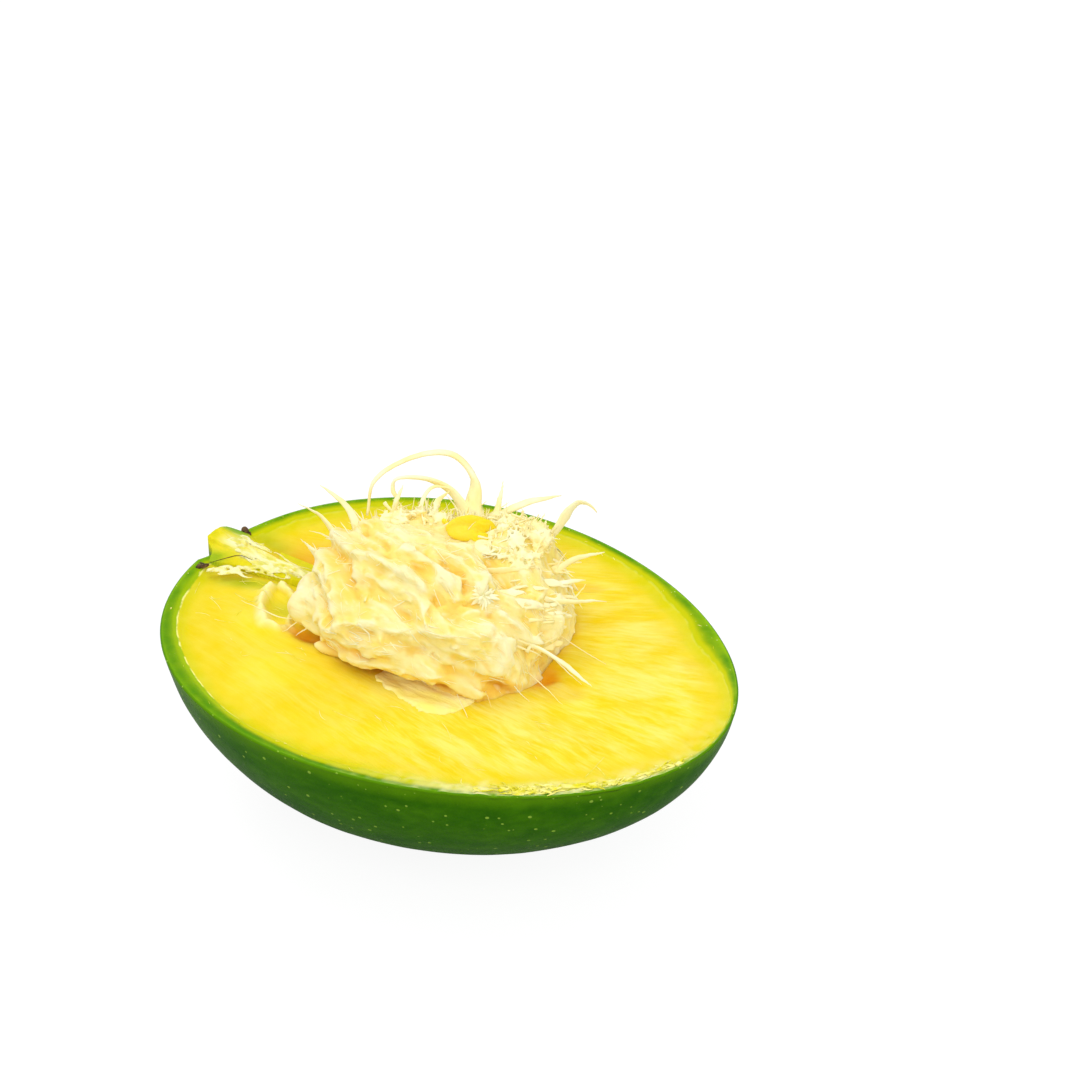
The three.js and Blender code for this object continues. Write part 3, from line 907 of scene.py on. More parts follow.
# The coat's thick rounded folds: how far each stands out, how wide it is, and where it runs, in
# millimetres from the cut face. Each runs from the stem towards the tip.
FOLDS = [
    (1.3, 1.9, [(-6.5, -9.6, 3.6), (-2.5, -10.8, 3.6), (2.9, -10.5, 3.8), (7.5, -9.6, 1.8)]),
    (1.1, 1.4, [(-6, -4.4, 9.6), (-1.3, -4.2, 10), (4, -5, 9.4)]),
    (0.9, 2.0, [(-9, 4, 9.8), (-2.3, 2.5, 10.6), (8.5, -0.5, 10)]),
    (0.9, 2.2, [(6, 9.5, 9), (10.5, 6.5, 9), (14, 2, 7.8)]),
    (2.2, 3.0, [(-12.5, -5.5, 1.5), (-13.5, -3.5, 2.5)]),
    (1.2, 1.3, [(-14.1, 1.6, 7.5), (-9.3, -2.7, 9.3), (-6.5, -4.8, 9.6), (-4.9, -6.3, 9.3)]),
    (1.1, 1.3, [(-14.3, -1, 7.3), (-10, -6.3, 7.6), (-5.7, -8.9, 7.3), (-4.6, -9.8, 6.3)]),
    (0.9, 1.4, [(-12, 3.3, 8.3), (-7.3, 0.7, 10.2), (-3.4, -0.7, 10.6)]),
    (1.1, 1.2, [
        (-4.7, 1.7, 10.6), (-1.7, 0.3, 10.8), (3.9, 0.7, 10.7), (6.5, -0.1, 10.5), (9.2, -2.1, 9.7),
    ]),
    (0.7, 0.8, [(-4.8, 1.2, 10.6), (-0.6, 1.9, 10.8), (3.5, 3, 10.8)]),
    (0.9, 1.1, [(-1.4, -1.2, 10.6), (1.7, -0.9, 10.7), (4.7, -2.2, 10.4), (7.9, -4.3, 9.5)]),
    (1.0, 1.4, [(0.5, -3.9, 10.3), (3.4, -5.8, 9.5), (6.1, -8.1, 7.6), (9.2, -8.4, 6)]),
    (1.3, 1.3, [(-2.9, -11.2, 1.3), (1.4, -10.9, 2.4), (5.3, -10.4, 2.7), (8.2, -9.4, 2.4)]),
    (0.9, 1.1, [(-4.8, -10.4, 4.6), (-2, -10.4, 5.3), (0.8, -9.7, 6.6), (5.4, -9.1, 6.5)]),
    (1.7, 2.4, [(10.5, -6, 7.3), (13.3, -4.2, 6.9), (14.3, -5, 4.6)]),
    (0.9, 1.4, [(12.1, -0.5, 8.8), (14.9, 1.1, 6.5), (15.2, 4.4, 5.8), (16, 4, 4.1)]),
    (1.2, 2.2, [(13.2, 7.5, 8.2), (15.2, 6, 6.4), (16.2, 4.2, 4.4)]),
    (0.9, 1.2, [(6.8, -7.9, 7.6), (9.6, -6.8, 7.6), (11, -4.2, 8.5), (11.5, -3.2, 8.6)]),
]

# Torn layers of the coat. Each rises over its width to an edge along its route, then drops on the
# right-hand side of the way that it runs.
SHELVES = [
    (1.1, 2.2, [
        (-5.6, -4.7, 9.9), (-3.2, -4.1, 10.2), (-0.8, -4.3, 10.2), (1.5, -4.8, 10),
        (3.9, -5.3, 9.8),
    ]),
    (0.8, 2.0, [(-2.4, -2.2, 10.5), (-0.9, -1.7, 10.7), (2.8, -1.9, 10.6), (5.4, -3.4, 10.1)]),
    (0.9, 2.4, [(8.9, -3.4, 9.5), (9.3, -0.8, 9.9), (8, 1.2, 10.3)]),
    (1.0, 2.4, [
        (-4.6, -10.8, 4.4), (-0.5, -10.1, 6), (3.2, -9.6, 6.4), (6.6, -8.6, 7), (9.6, -7.8, 6.5),
    ]),
    (0.8, 2.0, [(-13.7, -1.9, 6.8), (-8.8, -6.2, 8.2), (-5.9, -8.5, 7.6), (-4.4, -10.2, 5.5)]),
    (0.9, 2.2, [(9.6, -8.2, 6.2), (12, -7.3, 4.6), (14, -6.2, 3)]),
    (0.9, 2.6, [(16.6, 3.4, 2.7), (15.6, 4.6, 5.5), (14.2, 5.5, 7.3)]),
    (0.8, 2.0, [(13.6, -1.9, 6.9), (15.4, -1.2, 5), (16.4, 1.4, 3.6)]),
    (0.7, 1.6, [(-11, 0.5, 9.3), (-7, -0.8, 10.2), (-4, -2.6, 10.3)]),
    (0.6, 1.8, [(-9, 7.5, 9.8), (-3, 6, 10.6), (3, 5.4, 10.7)]),
]

# Broad swells and dents: how far each stands out, how wide it is, and where its middle is.
SWELLS = [
    (2.2, 4.5, (6.5, 12.2, 8.8)),
    (1.6, 2.6, (-13.2, -0.9, 8.3)),
    (-2.0, 3.2, (-15.8, -3.4, 4.8)),
    (-0.9, 4.0, (13, 11, 6)),
    (-1.2, 3.0, (17, 2.6, 0.2)),
    (-1.2, 4.0, (16.5, 7, 1)),
    (0.7, 1.6, (12.5, -8, 0.6)),
    (-0.7, 2.4, (2.8, -7.6, 8.4)),
    (-0.9, 1.8, (-3, -7.2, 8.8)),
    (-1.2, 1.7, (7.9, -4.9, 9.2)),
    (-1.4, 1.8, (8.2, 2.6, 10.3)),
    (-0.9, 1.8, (11.6, 2, 9.4)),
]

# Furrows: how deep and how wide each is, and where it runs.
FURROWS = [
    (1.4, 0.9, [(-13.4, -0.2, 7), (-8.5, -4.4, 9), (-5.3, -6.6, 9)]),
    (1.3, 1.0, [(-10.6, -6.9, 6.9), (-7.6, -8.7, 6), (-5.4, -9.8, 5)]),
    (1.1, 0.9, [(-9.6, 0.9, 9.8), (-4.6, -1.6, 10.5), (-2.6, -3, 10.4)]),
    (1.1, 0.7, [(-2.2, 0.6, 10.8), (1, -0.3, 10.8), (5.2, -1, 10.5), (8, -2.9, 9.8)]),
    (1.0, 0.7, [(0.8, -2.8, 10.5), (3.6, -3.9, 10.1), (6.6, -6.4, 8.9)]),
    (0.9, 0.8, [(12.4, -3.4, 8), (14.9, -3.2, 5.4), (15.6, -3, 3.6)]),
    (0.9, 0.8, [(5.4, -10.2, 4.6), (8, -9.2, 5.2), (10.2, -8.6, 4.6)]),
    (0.8, 0.7, [(-5, -10.7, 2.6), (-0.6, -11, 2.4), (3, -10.8, 3)]),
]


def route_offsets(points, route):
    """How far points are from a route on the stone, and to which side: above 0 on its right."""
    knots = np.array(route) + CUT
    nearest, side = np.full(len(points), np.inf), np.zeros(len(points))
    for a, b in zip(knots, knots[1:]):
        along = b - a
        share = np.clip((points - a) @ along / (along @ along), 0, 1)
        away = points - a - share[:, None] * along
        gap = np.linalg.norm(away, axis=1)
        right = np.cross(along, points - STONE_MIDDLE)
        closer = gap < nearest
        nearest = np.where(closer, gap, nearest)
        side = np.where(closer, np.sign(np.sum(away * right, axis=1)), side)
    return nearest, side


def undercut(points, above):
    """How far the stone's near foot lies in under its lowest fold."""
    x, y = (points[:, :2] - STONE_MIDDLE[:2]).T
    near = smooth_step(0.4, 0.78, -(0.3 * x + 0.95 * y) / np.hypot(x, y))
    return 2.7 * near * smooth_step(1.4, 0.4, above)


def fold_rise(points):
    """How far the folds stand out at each of the stone's points."""
    rises = [rise * bell(route_offsets(points, route)[0], width) for rise, width, route in FOLDS]
    return np.max(rises, axis=0)


def round_about(points, middle, width):
    """1 at a middle that is given from the cut face, fading out over about the width round it."""
    return bell(np.linalg.norm(points - middle - CUT, axis=1), width)


def feature_height(points):
    """How far the coat stands out from the stone's plain shape at each of its points."""
    rough = layered_noise(points, 2.4, 71, 3)
    drift = np.stack([layered_noise(points, 2.4, 75 + i, 3) for i in range(3)], axis=1)
    moved = points + 0.75 * drift
    height = fold_rise(points)
    height = height - undercut(points, points[:, 2] - CUT_Z + 0.35 * noise(points, 2.5, 79))
    for rise, width, middle in SWELLS:
        height += rise * round_about(points, middle, width)
    for rise, width, route in SHELVES:
        gap, side = route_offsets(moved, route)
        slope = np.clip(1 - gap / width, 0, 1)
        drop = np.clip(1 - gap / 0.55, 0, 1)
        height += rise * np.where(side > 0, drop, slope**1.5)
    for depth, width, route in FURROWS:
        height -= depth * bell(route_offsets(moved, route)[0], width)

    # Soft creases lie along the folds.
    ways = fold_ways(points)

    def drawn_out(size, seed):
        total = sum(noise(points + ways * (k * size * 0.6), size, seed) for k in range(-4, 5)) / 9
        return np.clip(total * 2.2, -1, 1)

    broad, middling = 1 - 2 * np.abs(drawn_out(2.6, 81)), 1 - 2 * np.abs(drawn_out(1.4, 83))
    fine = drawn_out(0.7, 85)
    return height + 0.5 * broad + 0.3 * middling + 0.1 * fine + 0.14 * rough


def fold_ways(points):
    """The way that the nearest folds run at each of the stone's points."""
    total = np.zeros_like(points)
    for _, _, route in FOLDS:
        knots = np.array(route) + CUT
        for a, b in zip(knots, knots[1:]):
            away = np.linalg.norm(points - (a + b) / 2, axis=1)
            total += unit(b - a) / (away[:, None] ** 2 + 1) ** 1.5
    return unit(total)


def on_stone(directions, detail=False):
    """The point of the folded stone in each direction from its middle. Without detail, only the
    folds are there."""
    directions = directions / np.linalg.norm(directions, axis=-1, keepdims=True)
    shape = directions.shape
    d = directions.reshape(-1, 3)
    plain = STONE_MIDDLE + d * stone_reach(d)[:, None]
    raised = feature_height(plain) if detail else fold_rise(plain)
    raised = raised * np.clip(d[:, 2] * 6 + 1.3, 0, 1)
    return (plain + d * raised[:, None]).reshape(shape)


def grid_faces(rows, columns, start=0):
    """Faces of a tube of closed rings, rows by columns, without its ends."""
    faces = []
    for i in range(rows - 1):
        ring = np.arange(columns) + start + i * columns
        faces += stitch(ring, ring + columns)
    return faces


def closed_tube_faces(rows, columns):
    """Faces of a tube of closed rings with both of its ends."""
    faces = [f[::-1] for f in grid_faces(rows, columns)]
    first, last = range(columns), range((rows - 1) * columns, rows * columns)
    return faces + [list(first), list(last)[::-1]]


def round_directions(rows, columns, pole):
    """Directions in rings from top to bottom. The first and last rings are pole from the ends."""
    tilt = np.linspace(pole, math.pi - pole, rows)
    turn = np.arange(columns) * 2 * math.pi / columns
    across, away = (np.outer(np.sin(tilt), part) for part in (np.cos(turn), np.sin(turn)))
    up = np.outer(np.cos(tilt), np.ones(columns))
    return np.stack([across, away, up], axis=-1).reshape(-1, 3)


def stone_core():
    """The stone's folded body, as points and faces."""
    rows, columns = 190, 330
    directions = round_directions(rows, columns, 0.01)
    return on_stone(directions, detail=True), closed_tube_faces(rows, columns)


def lump(middle, radii, turn, seed, roughness=0.25):
    """A rough rounded lump, as points and faces."""
    rows, columns = 30, 44
    d = round_directions(rows, columns, 0.04)
    points = d * radii
    points += d * (roughness * layered_noise(points * [0.5, 1, 1], 1.6, seed, 2))[:, None]
    c, s = math.cos(math.radians(turn)), math.sin(math.radians(turn))
    points = points @ np.array([[c, s, 0], [-s, c, 0], [0, 0, 1]])
    return points + np.array(middle) + CUT, closed_tube_faces(rows, columns)


def unit(vectors):
    """The same ways with a length of 1."""
    return vectors / (np.linalg.norm(vectors, axis=-1, keepdims=True) + 1e-9)


def swept_strands(centres, normals, half_widths, half_thicknesses, sides, profile):
    """Closed strands. centres and normals are (steps, strands, 3), and profile is the share of its
    full width that a strand has at each step."""
    steps, count, _ = centres.shape
    tangents = unit(np.gradient(centres, axis=0))
    sideways = unit(np.cross(tangents, normals))
    upright = np.cross(sideways, tangents)
    turn = np.arange(sides) * 2 * math.pi / sides
    wide = np.cos(turn)[:, None] * half_widths[:, None, None]
    thick = np.sin(turn)[:, None] * half_thicknesses[:, None, None]
    ring = sideways[:, :, None, :] * wide + upright[:, :, None, :] * thick
    profile = np.asarray(profile)
    profile = profile[:, None] if profile.ndim == 1 else profile
    points = centres[:, :, None, :] + ring * profile[:, :, None, None]
    points = points.transpose(1, 0, 2, 3).reshape(-1, 3)
    one = np.array(grid_faces(steps, sides))[:, ::-1]
    stride = steps * sides
    faces = (one[None] + (np.arange(count) * stride)[:, None, None]).reshape(-1, 4).tolist()
    for i in range(count):
        first = i * stride
        faces.append(list(range(first, first + sides)))
        faces.append(list(range(first + stride - sides, first + stride))[::-1])
    return points, faces


def uneven_widths(rng, steps, count, amount):
    """Shares of their full width that strands have at each step, wandering along them."""
    knots = 7
    chosen = rng.uniform(-1, 1, (knots, count))
    at = np.linspace(0, knots - 1, steps)
    low = np.minimum(at.astype(int), knots - 2)
    part = (at - low)[:, None]
    return 1 + amount * (chosen[low] * (1 - part) + chosen[low + 1] * part)


def leaf_profile(steps, tip=0.08):
    """Widest a little past the root, and drawn out to a tip."""
    share = np.linspace(0, 1, steps)
    return np.sin(math.pi * np.clip(share * 0.82 + 0.18, 0, 1)) ** 0.7 * (1 - tip) + tip


def laid_strands(
    roots, headings, seed, length, width, thickness, lift,
    sides, steps, stray=0.35, sink=0.35, uneven=0,
):
    """Tapered flat strands on the stone. roots are directions from its middle and headings the ways
    that the strands set off. Each starts sunk in the coat, and its tip lifts off. length, width,
    thickness and lift are each (least, most) in millimetres."""
    rng = np.random.default_rng(seed)
    count = len(roots)

    def between(limits, power=1.0):
        return limits[0] + (limits[1] - limits[0]) * rng.random(count) ** power

    reach, wide = between(length, 1.5), between(width, 1.5)
    thick, raised = between(thickness), between(lift, 2)
    twist = rng.normal(size=count) * stray
    p = on_stone(roots, detail=True)
    heading = unit(headings)
    centres, normals = [], []
    for i in range(steps):
        share = i / (steps - 1)
        out = unit(p - STONE_MIDDLE)
        height = (raised + sink) * share**1.4 - sink
        centres.append(p + out * height[:, None])
        normals.append(out)
        heading = heading + np.cross(out, heading) * (twist / steps)[:, None]
        heading = unit(heading - out * np.sum(heading * out, axis=1, keepdims=True))
        p = on_stone(p + heading * (reach / (steps - 1))[:, None] - STONE_MIDDLE, detail=True)
    centres = np.array(centres)
    profile = leaf_profile(steps)[:, None] * uneven_widths(rng, steps, count, uneven)
    return swept_strands(centres, np.array(normals), wide / 2, thick / 2, sides, profile)


def scattered_roots(count, seed, weight):
    """Directions over the stone's top, thicker where weight of their points is higher."""
    rng = np.random.default_rng(seed)
    d = rng.normal(size=(count * 12, 3))
    d[:, 2] = np.abs(d[:, 2]) * 0.8 - 0.05
    d = unit(d)
    return d[rng.random(len(d)) < weight(on_stone(d) - CUT)][:count]


def fuse(name, parts, voxel, material, smoothing=1):
    """Joins overlapping bodies in one closed skin, in steps of voxel millimetres."""
    points, faces = joined(*parts)
    made = make_mesh(name, points / MM, faces, [material])  # a thousand times its size for now
    remesh = made.modifiers.new("fuse", "REMESH")
    remesh.mode = "VOXEL"
    remesh.voxel_size = voxel
    remesh.use_smooth_shade = True
    smooth = made.modifiers.new("smooth", "SMOOTH")
    smooth.iterations = smoothing
    smooth.factor = 0.5
    graph = bpy.context.evaluated_depsgraph_get()
    mesh = bpy.data.meshes.new_from_object(made.evaluated_get(graph))
    made.modifiers.clear()
    old = made.data
    made.data = mesh
    bpy.data.meshes.remove(old)
    set_points(mesh, mesh_points(mesh) * MM)
    mesh.polygons.foreach_set("use_smooth", [True] * len(mesh.polygons))
    return made


def dress_parts(name, parts, material, slot, *nodes):
    """Makes one piece of several (points, faces) and puts it on the fruit."""
    points, faces = joined(*parts)
    return dress(make_mesh(name, points, faces, [material]), slot, *nodes)


def joined(*parts):
    """Several (points, faces) as one."""
    points, faces, start = [], [], 0
    for part_points, part_faces in parts:
        points.append(part_points)
        faces += [[n + start for n in f] for f in part_faces]
        start += len(part_points)
    return np.concatenate(points), faces


def smoothed(mesh, points, rounds):
    """Points averaged with their neighbours along edges."""
    edges = np.empty(len(mesh.edges) * 2, np.int64)
    mesh.edges.foreach_get("vertices", edges)
    a, b = edges.reshape(-1, 2).T
    degree = np.bincount(a, minlength=len(points)) + np.bincount(b, minlength=len(points))
    for _ in range(rounds):
        total = np.zeros_like(points)
        for axis in range(points.shape[1]):
            at_first = np.bincount(a, points[b, axis], len(points))
            at_second = np.bincount(b, points[a, axis], len(points))
            total[:, axis] = at_first + at_second
        points = total / degree[:, None]
    return points


def mark_hollows(mesh, rounds, depth):
    """Gives each point a number above 0 in hollows and below 0 on ridges."""
    points = mesh_points(mesh)
    normals = mesh_normals(mesh)
    close = smoothed(mesh, points, rounds)
    wide = smoothed(mesh, close, rounds * 6)
    small = np.sum((close - points) * normals, axis=1) / depth
    large = np.sum((wide - close) * normals, axis=1) / (depth * 2)
    set_value(mesh, "hollow", np.clip(0.3 * small + 0.9 * large, -1, 1))


def outward_headings(roots, bias, share):
    """Ways that lead away from the stone's middle along its coat, leant towards bias."""
    flat = roots * [1, 1, 0.2]
    return unit(flat) * share + np.array(bias)


# Spots where the coat's painted shade is stronger (above 0) or its painted highlight is stronger
# (below 0): by how much, how widely, and around which point.
LIGHT_AND_SHADE_SPOTS = [
    (-0.7, 4.0, (-13.5, -6.5, 3)),
    (-0.3, 3.5, (-10, -7.5, 6)),
    (-0.35, 4.0, (2, -4, 10)),
    (-0.9, 2.4, (14.5, -4.5, 5.2)),
    (0.4, 3.0, (-7, -5.7, 9.2)),
]


def build_stone():
    """The stone with its matted coat: folds, torn sheets, ridges, tufts and lumps, fused in one."""
    def feathered(p):
        right = smooth_step(4, 12, p[:, 0] + 0.5 * p[:, 1])
        back = smooth_step(3, 9, p[:, 1])
        return np.clip(np.maximum(0.35 * right, back) * smooth_step(4, 7, p[:, 2]), 0, 1)

    rng = np.random.default_rng(2)

    def lie(d):
        return fold_ways(on_stone(d)) + 0.25 * rng.normal(size=d.shape)

    def front(p):
        return 0.5 - 0.35 * smooth_step(8, 13, p[:, 0])

    d = scattered_roots(90, 3, front)
    sheets = laid_strands(
        d, lie(d), 13, length=(2.5, 6), width=(0.8, 2.4), thickness=(0.42, 0.6), lift=(0.2, 1.0),
        sides=10, steps=10, sink=0.4,
    )
    d = scattered_roots(420, 4, front)
    ridges = laid_strands(
        d, lie(d), 14, length=(1.5, 5), width=(0.35, 0.9), thickness=(0.32, 0.5), lift=(0.1, 0.7),
        sides=7, steps=8, sink=0.2,
    )
    d = scattered_roots(110, 5, feathered)
    tufts = laid_strands(
        d, outward_headings(d, (0.8, 0.7, 0.15), 0.8), 15,
        length=(2, 6), width=(0.5, 1.4), thickness=(0.35, 0.55), lift=(0.05, 0.7), sides=7, steps=8,
    )
    end = lump((-12.3, -7.5, 2.7), (2.9, 2.1, 2.4), 15, 6)
    shoulder = lump((-12.2, -5.0, 3.6), (3.2, 2.6, 2.6), 20, 12)
    spur = lump((-6.4, -10.2, 0.3), (2.9, 1.0, 0.75), 10, 7, 0.4)
    scraps = [
        lump((-3.2, -9.2, 0.2), (1.8, 0.7, 0.5), 12, 9, 0.35),
        lump((11.8, -8.2, 0.2), (1.7, 0.9, 0.7), 25, 10, 0.4),
    ]
    parts = [stone_core(), sheets, ridges, tufts, end, shoulder, spur, *scraps]
    stone = fuse("stone_coat", parts, 0.22, COAT, 2)
    points, normals = mesh_points(stone.data), mesh_normals(stone.data)
    ways = fold_ways(points)
    streak = sum(noise(points + ways * (k * 0.42), 0.5, 95) for k in range(-8, 9)) / 17
    streak = np.clip(streak * 3.2, -1, 1)
    set_points(stone.data, points + normals * (0.045 * streak)[:, None])
    mark_hollows(stone.data, 10, 0.25)
    set_value(stone.data, "streak", streak)
    # Painted shade: the near side's low parts, under the lowest fold, are painted deep orange.
    near = smooth_step(0, -6, points[:, 1])
    low = smooth_step(2.2, 0.2, points[:, 2] - CUT_Z) * 0.6 + smooth_step(0.1, -0.6, normals[:, 2])
    under = near * np.clip(low, 0, 1) * smooth_step(4.5, 2, points[:, 2] - CUT_Z)
    hollow = mesh_value(stone.data, "hollow") + 1.5 * smoothed(stone.data, under[:, None], 3)[:, 0]
    for amount, width, middle in LIGHT_AND_SHADE_SPOTS:
        hollow += amount * round_about(points, middle, width)
    set_value(stone.data, "hollow", hollow)
    return dress(stone, "stone_coat", "stone")


def slab(name, top, under, rows, materials):
    """A closed body between a grid of top points, row by row, and heights under them."""
    columns = len(top) // rows
    bottom = np.column_stack([top[:, :2], under])
    n = len(top)
    cells = (np.arange(rows - 1)[:, None] * columns + np.arange(columns - 1)).ravel()
    upper = np.stack([cells, cells + 1, cells + columns + 1, cells + columns], 1)
    grid = np.arange(n).reshape(rows, columns)
    border = np.concatenate([grid[0, :-1], grid[:-1, -1], grid[-1, :0:-1], grid[:0:-1, 0]])
    after = np.roll(border, -1)
    sides = np.stack([after, border, border + n, after + n], 1)
    faces = np.concatenate([upper, upper[:, ::-1] + n, sides]).tolist()
    return make_mesh(name, np.concatenate([top, bottom]), faces, materials)


# The torn flap's near edge from its left end to its right end, and its far edge under the stone.
FLAP_X = [0.4, 1, 3.2, 5.4, 7.4, 9.8, 11.6, 12.9, 13.4]
FLAP_NEAR = [-10.8, -11.4, -12.3, -12.9, -13.1, -13.4, -13.1, -11.9, -9.6]
FLAP_FAR = -8.2


def build_flap():
    """A torn flap of the coat that lies on the flesh beside the stone."""
    rows, columns = 30, 170
    left, right = FLAP_X[0], FLAP_X[-1]
    x = np.linspace(left, right, columns)
    near = np.interp(x, FLAP_X, FLAP_NEAR)
    for size, rise, seed in ((1.5, 0.35, 91), (0.7, 0.25, 93), (0.33, 0.14, 94)):
        near += rise * layered_noise(flat_points(x), size, seed, 2)
    share = np.linspace(0, 1, rows)[:, None]
    y = (near + (FLAP_FAR - near) * share).ravel()
    x = np.tile(x, rows)
    rest = CUT_Z + face_height(x, y)
    ends = np.clip(np.minimum(x - left, right - x) / 0.6, 0, 1)
    edge = np.minimum(np.repeat(np.clip(share * 8, 0, 1), columns), ends)
    crinkles = layered_noise(flat_points(x * 0.45, y * 1.5), 1.4, 92, 3)
    height = 0.06 + 0.2 * edge**0.6 + 0.25 * crinkles * edge
    height += 0.5 * np.repeat(smooth_step(0.5, 1.0, share), columns)
    flap = slab("torn_flap", np.column_stack([x, y, rest + height]), rest - 0.35, rows, [THIN_COAT])
    mark_hollows(flap.data, 6, 0.15)
    # The flap gets less painted highlight at its edges and a little more painted shade all over.
    set_value(flap.data, "hollow", mesh_value(flap.data, "hollow") * 0.35 + 0.2)
    return dress(flap, "stone_coat")


# ---- loose fibres --------------------------------------------------------------------------------

# Each loose fibre's widths at its root, middle and end, and its route from the cut face.
LOOSE_FIBRES = {
    "fibre_arch": ((2.4, 1.0, 0.7), [
        (-2.5, 13, 9.4), (-3.5, 15, 13), (-7, 15, 15.5), (-11, 12, 15), (-13.8, 8, 12.5),
        (-13.9, 6.4, 8),
    ]),
    "fibre_curl": ((1.6, 1.4, 0.45), [
        (-3.5, 13, 9.6), (-5.5, 12.5, 12), (-8, 11, 13.5), (-10.5, 8.5, 14), (-10.6, 7.5, 13),
        (-10, 7.5, 12),
    ]),
    "fibre_left_spike": ((1.5, 0.8, 0.08), [
        (-13.5, 4, 7.6), (-15.5, 5, 9), (-17, 5, 10), (-20, 5, 11),
    ]),
    "fibre_left_low": ((1.2, 0.7, 0.08), [(-15, 1.5, 7.4), (-17.5, 1.5, 9.5), (-20.5, 1, 10.5)]),
    "fibre_left_thorn": ((1.2, 0.7, 0.08), [
        (-14.5, -2.5, 6.4), (-15.7, -2.6, 7.5), (-17.2, -2.8, 8.6),
    ]),
    "fibre_leaf": ((1.3, 1.3, 0.12), [(-9.5, 6, 10), (-9.3, 6.6, 12), (-8.6, 7.6, 14.3)]),
    "fibre_hook": ((0.7, 0.5, 0.1), [
        (-6.5, 7.5, 10.4), (-7, 9, 12), (-6.5, 10.5, 13), (-5, 12.5, 12.3),
    ]),
    "fibre_tuft": ((1.6, 0.9, 0.1), [(-4.5, 8, 10.8), (-5, 9.5, 12), (-3.7, 10.5, 13.6)]),
    "fibre_back_spike": ((1.1, 0.6, 0.08), [(0.5, 14, 9.4), (0.2, 15.5, 11.5), (-0.5, 17, 13)]),
    "fibre_back_long": ((1.7, 1.1, 0.1), [
        (0.8, 14.3, 9.6), (2.2, 15.8, 10.5), (3.7, 18.1, 10.9), (5.4, 21.3, 10.5),
    ]),
    "fibre_ribbon": ((1.7, 2.1, 0.12), [
        (7.6, 13.2, 7.8), (8.8, 15.3, 9.8), (9.4, 17.2, 12), (10.2, 18.4, 13.1),
        (11.6, 18.8, 13), (12.7, 18.8, 12.3),
    ]),
    "fibre_right_top": ((0.9, 0.7, 0.08), [(12.5, 10.5, 8), (14, 12, 9.2), (16.5, 14.5, 9.8)]),
    "fibre_right_mid": ((1.1, 0.8, 0.08), [(15, 4.5, 7.6), (17.5, 5.8, 7.6), (21, 8, 8)]),
    "fibre_right_blade": ((0.6, 1.1, 0.06), [
        (15.9, -1.4, 5.1), (18.2, -0.7, 4.3), (20.4, 0, 3), (24, 0.5, 1),
    ]),
}


def smooth_route(route, steps):
    """Evenly stepped points of a smooth curve through a route from the cut face."""
    knots = np.array(route, float) + CUT
    knots = np.concatenate([[2 * knots[0] - knots[1]], knots, [2 * knots[-1] - knots[-2]]])
    fine = []
    for p0, p1, p2, p3 in zip(knots, knots[1:], knots[2:], knots[3:]):
        t = np.linspace(0, 1, 40, endpoint=False)[:, None]
        square, cube = 2 * p0 - 5 * p1 + 4 * p2 - p3, 3 * p1 - p0 - 3 * p2 + p3
        fine.append(0.5 * (2 * p1 + (p2 - p0) * t + square * t**2 + cube * t**3))
    fine = np.concatenate(fine + [knots[-2][None]])
    along = np.concatenate([[0], np.cumsum(np.linalg.norm(np.diff(fine, axis=0), axis=1))])
    even = np.linspace(0, along[-1], steps)
    return np.stack([np.interp(even, along, fine[:, i]) for i in range(3)], 1)


def ribbon(
    route, widths, seed, flatness, steps=34, sides=8, facing=(-0.49, 0.69, 0.5), uneven=0.1
):
    """One loose fibre along a route, sunk in the stone at its root and drawn out to its tip.
    widths are for its root, middle and end, and flatness is its thickness as a share of them."""
    rng = np.random.default_rng(seed)
    centres = smooth_route(route, steps)
    root = unit(centres[:1] - centres[4:5])
    centres = np.concatenate([centres[:1] + root * 1.2, centres])
    share = np.linspace(0, 1, steps + 1)
    wiggle = np.cumsum(rng.normal(size=(steps + 1, 3)) * 0.03, axis=0) * share[:, None]
    centres = centres + wiggle
    half = np.interp(share, [0, 0.5, 1], widths) / 2
    half[:3] *= [1.7, 1.35, 1.12]
    twist = rng.normal() * 0.5 + share * rng.normal() * 1.2
    half = half * uneven_widths(rng, steps + 1, 1, uneven)[:, 0]
    across = unit(np.cross(np.gradient(centres, axis=0), np.array(facing)))
    upright = unit(np.cross(across, np.gradient(centres, axis=0)))
    normal = upright * np.cos(twist)[:, None] + across * np.sin(twist)[:, None]
    thick = np.full(1, flatness)
    return swept_strands(centres[:, None], normal[:, None], np.ones(1), thick, sides, half[:, None])


def build_loose_fibres():
    """Each loose fibre, with three thin wisps at its root."""
    for number, (name, (widths, route)) in enumerate(LOOSE_FIBRES.items()):
        strands = [ribbon(route, widths, number, 0.3 if name == "fibre_ribbon" else 0.5)]
        rng = np.random.default_rng(100 + number)
        for i in range(3):
            start = np.array(route[0]) + rng.normal(size=3) * [0.5, 0.5, 0.2]
            heading = unit(np.array(route[1], float) - route[0]) + rng.normal(size=3) * 0.35
            reach = 1.2 + rng.random() * 1.6
            halfway = start + unit(heading) * reach * 0.5
            wisp = [start, halfway, start + unit(heading + [0, 0, -0.2]) * reach]
            strands.append(ribbon(wisp, (0.35, 0.2, 0.05), 50 + number * 3 + i, 0.7, 10, 5))
        dress_parts("loose_" + name, strands, FIBRE, "fibre", name)


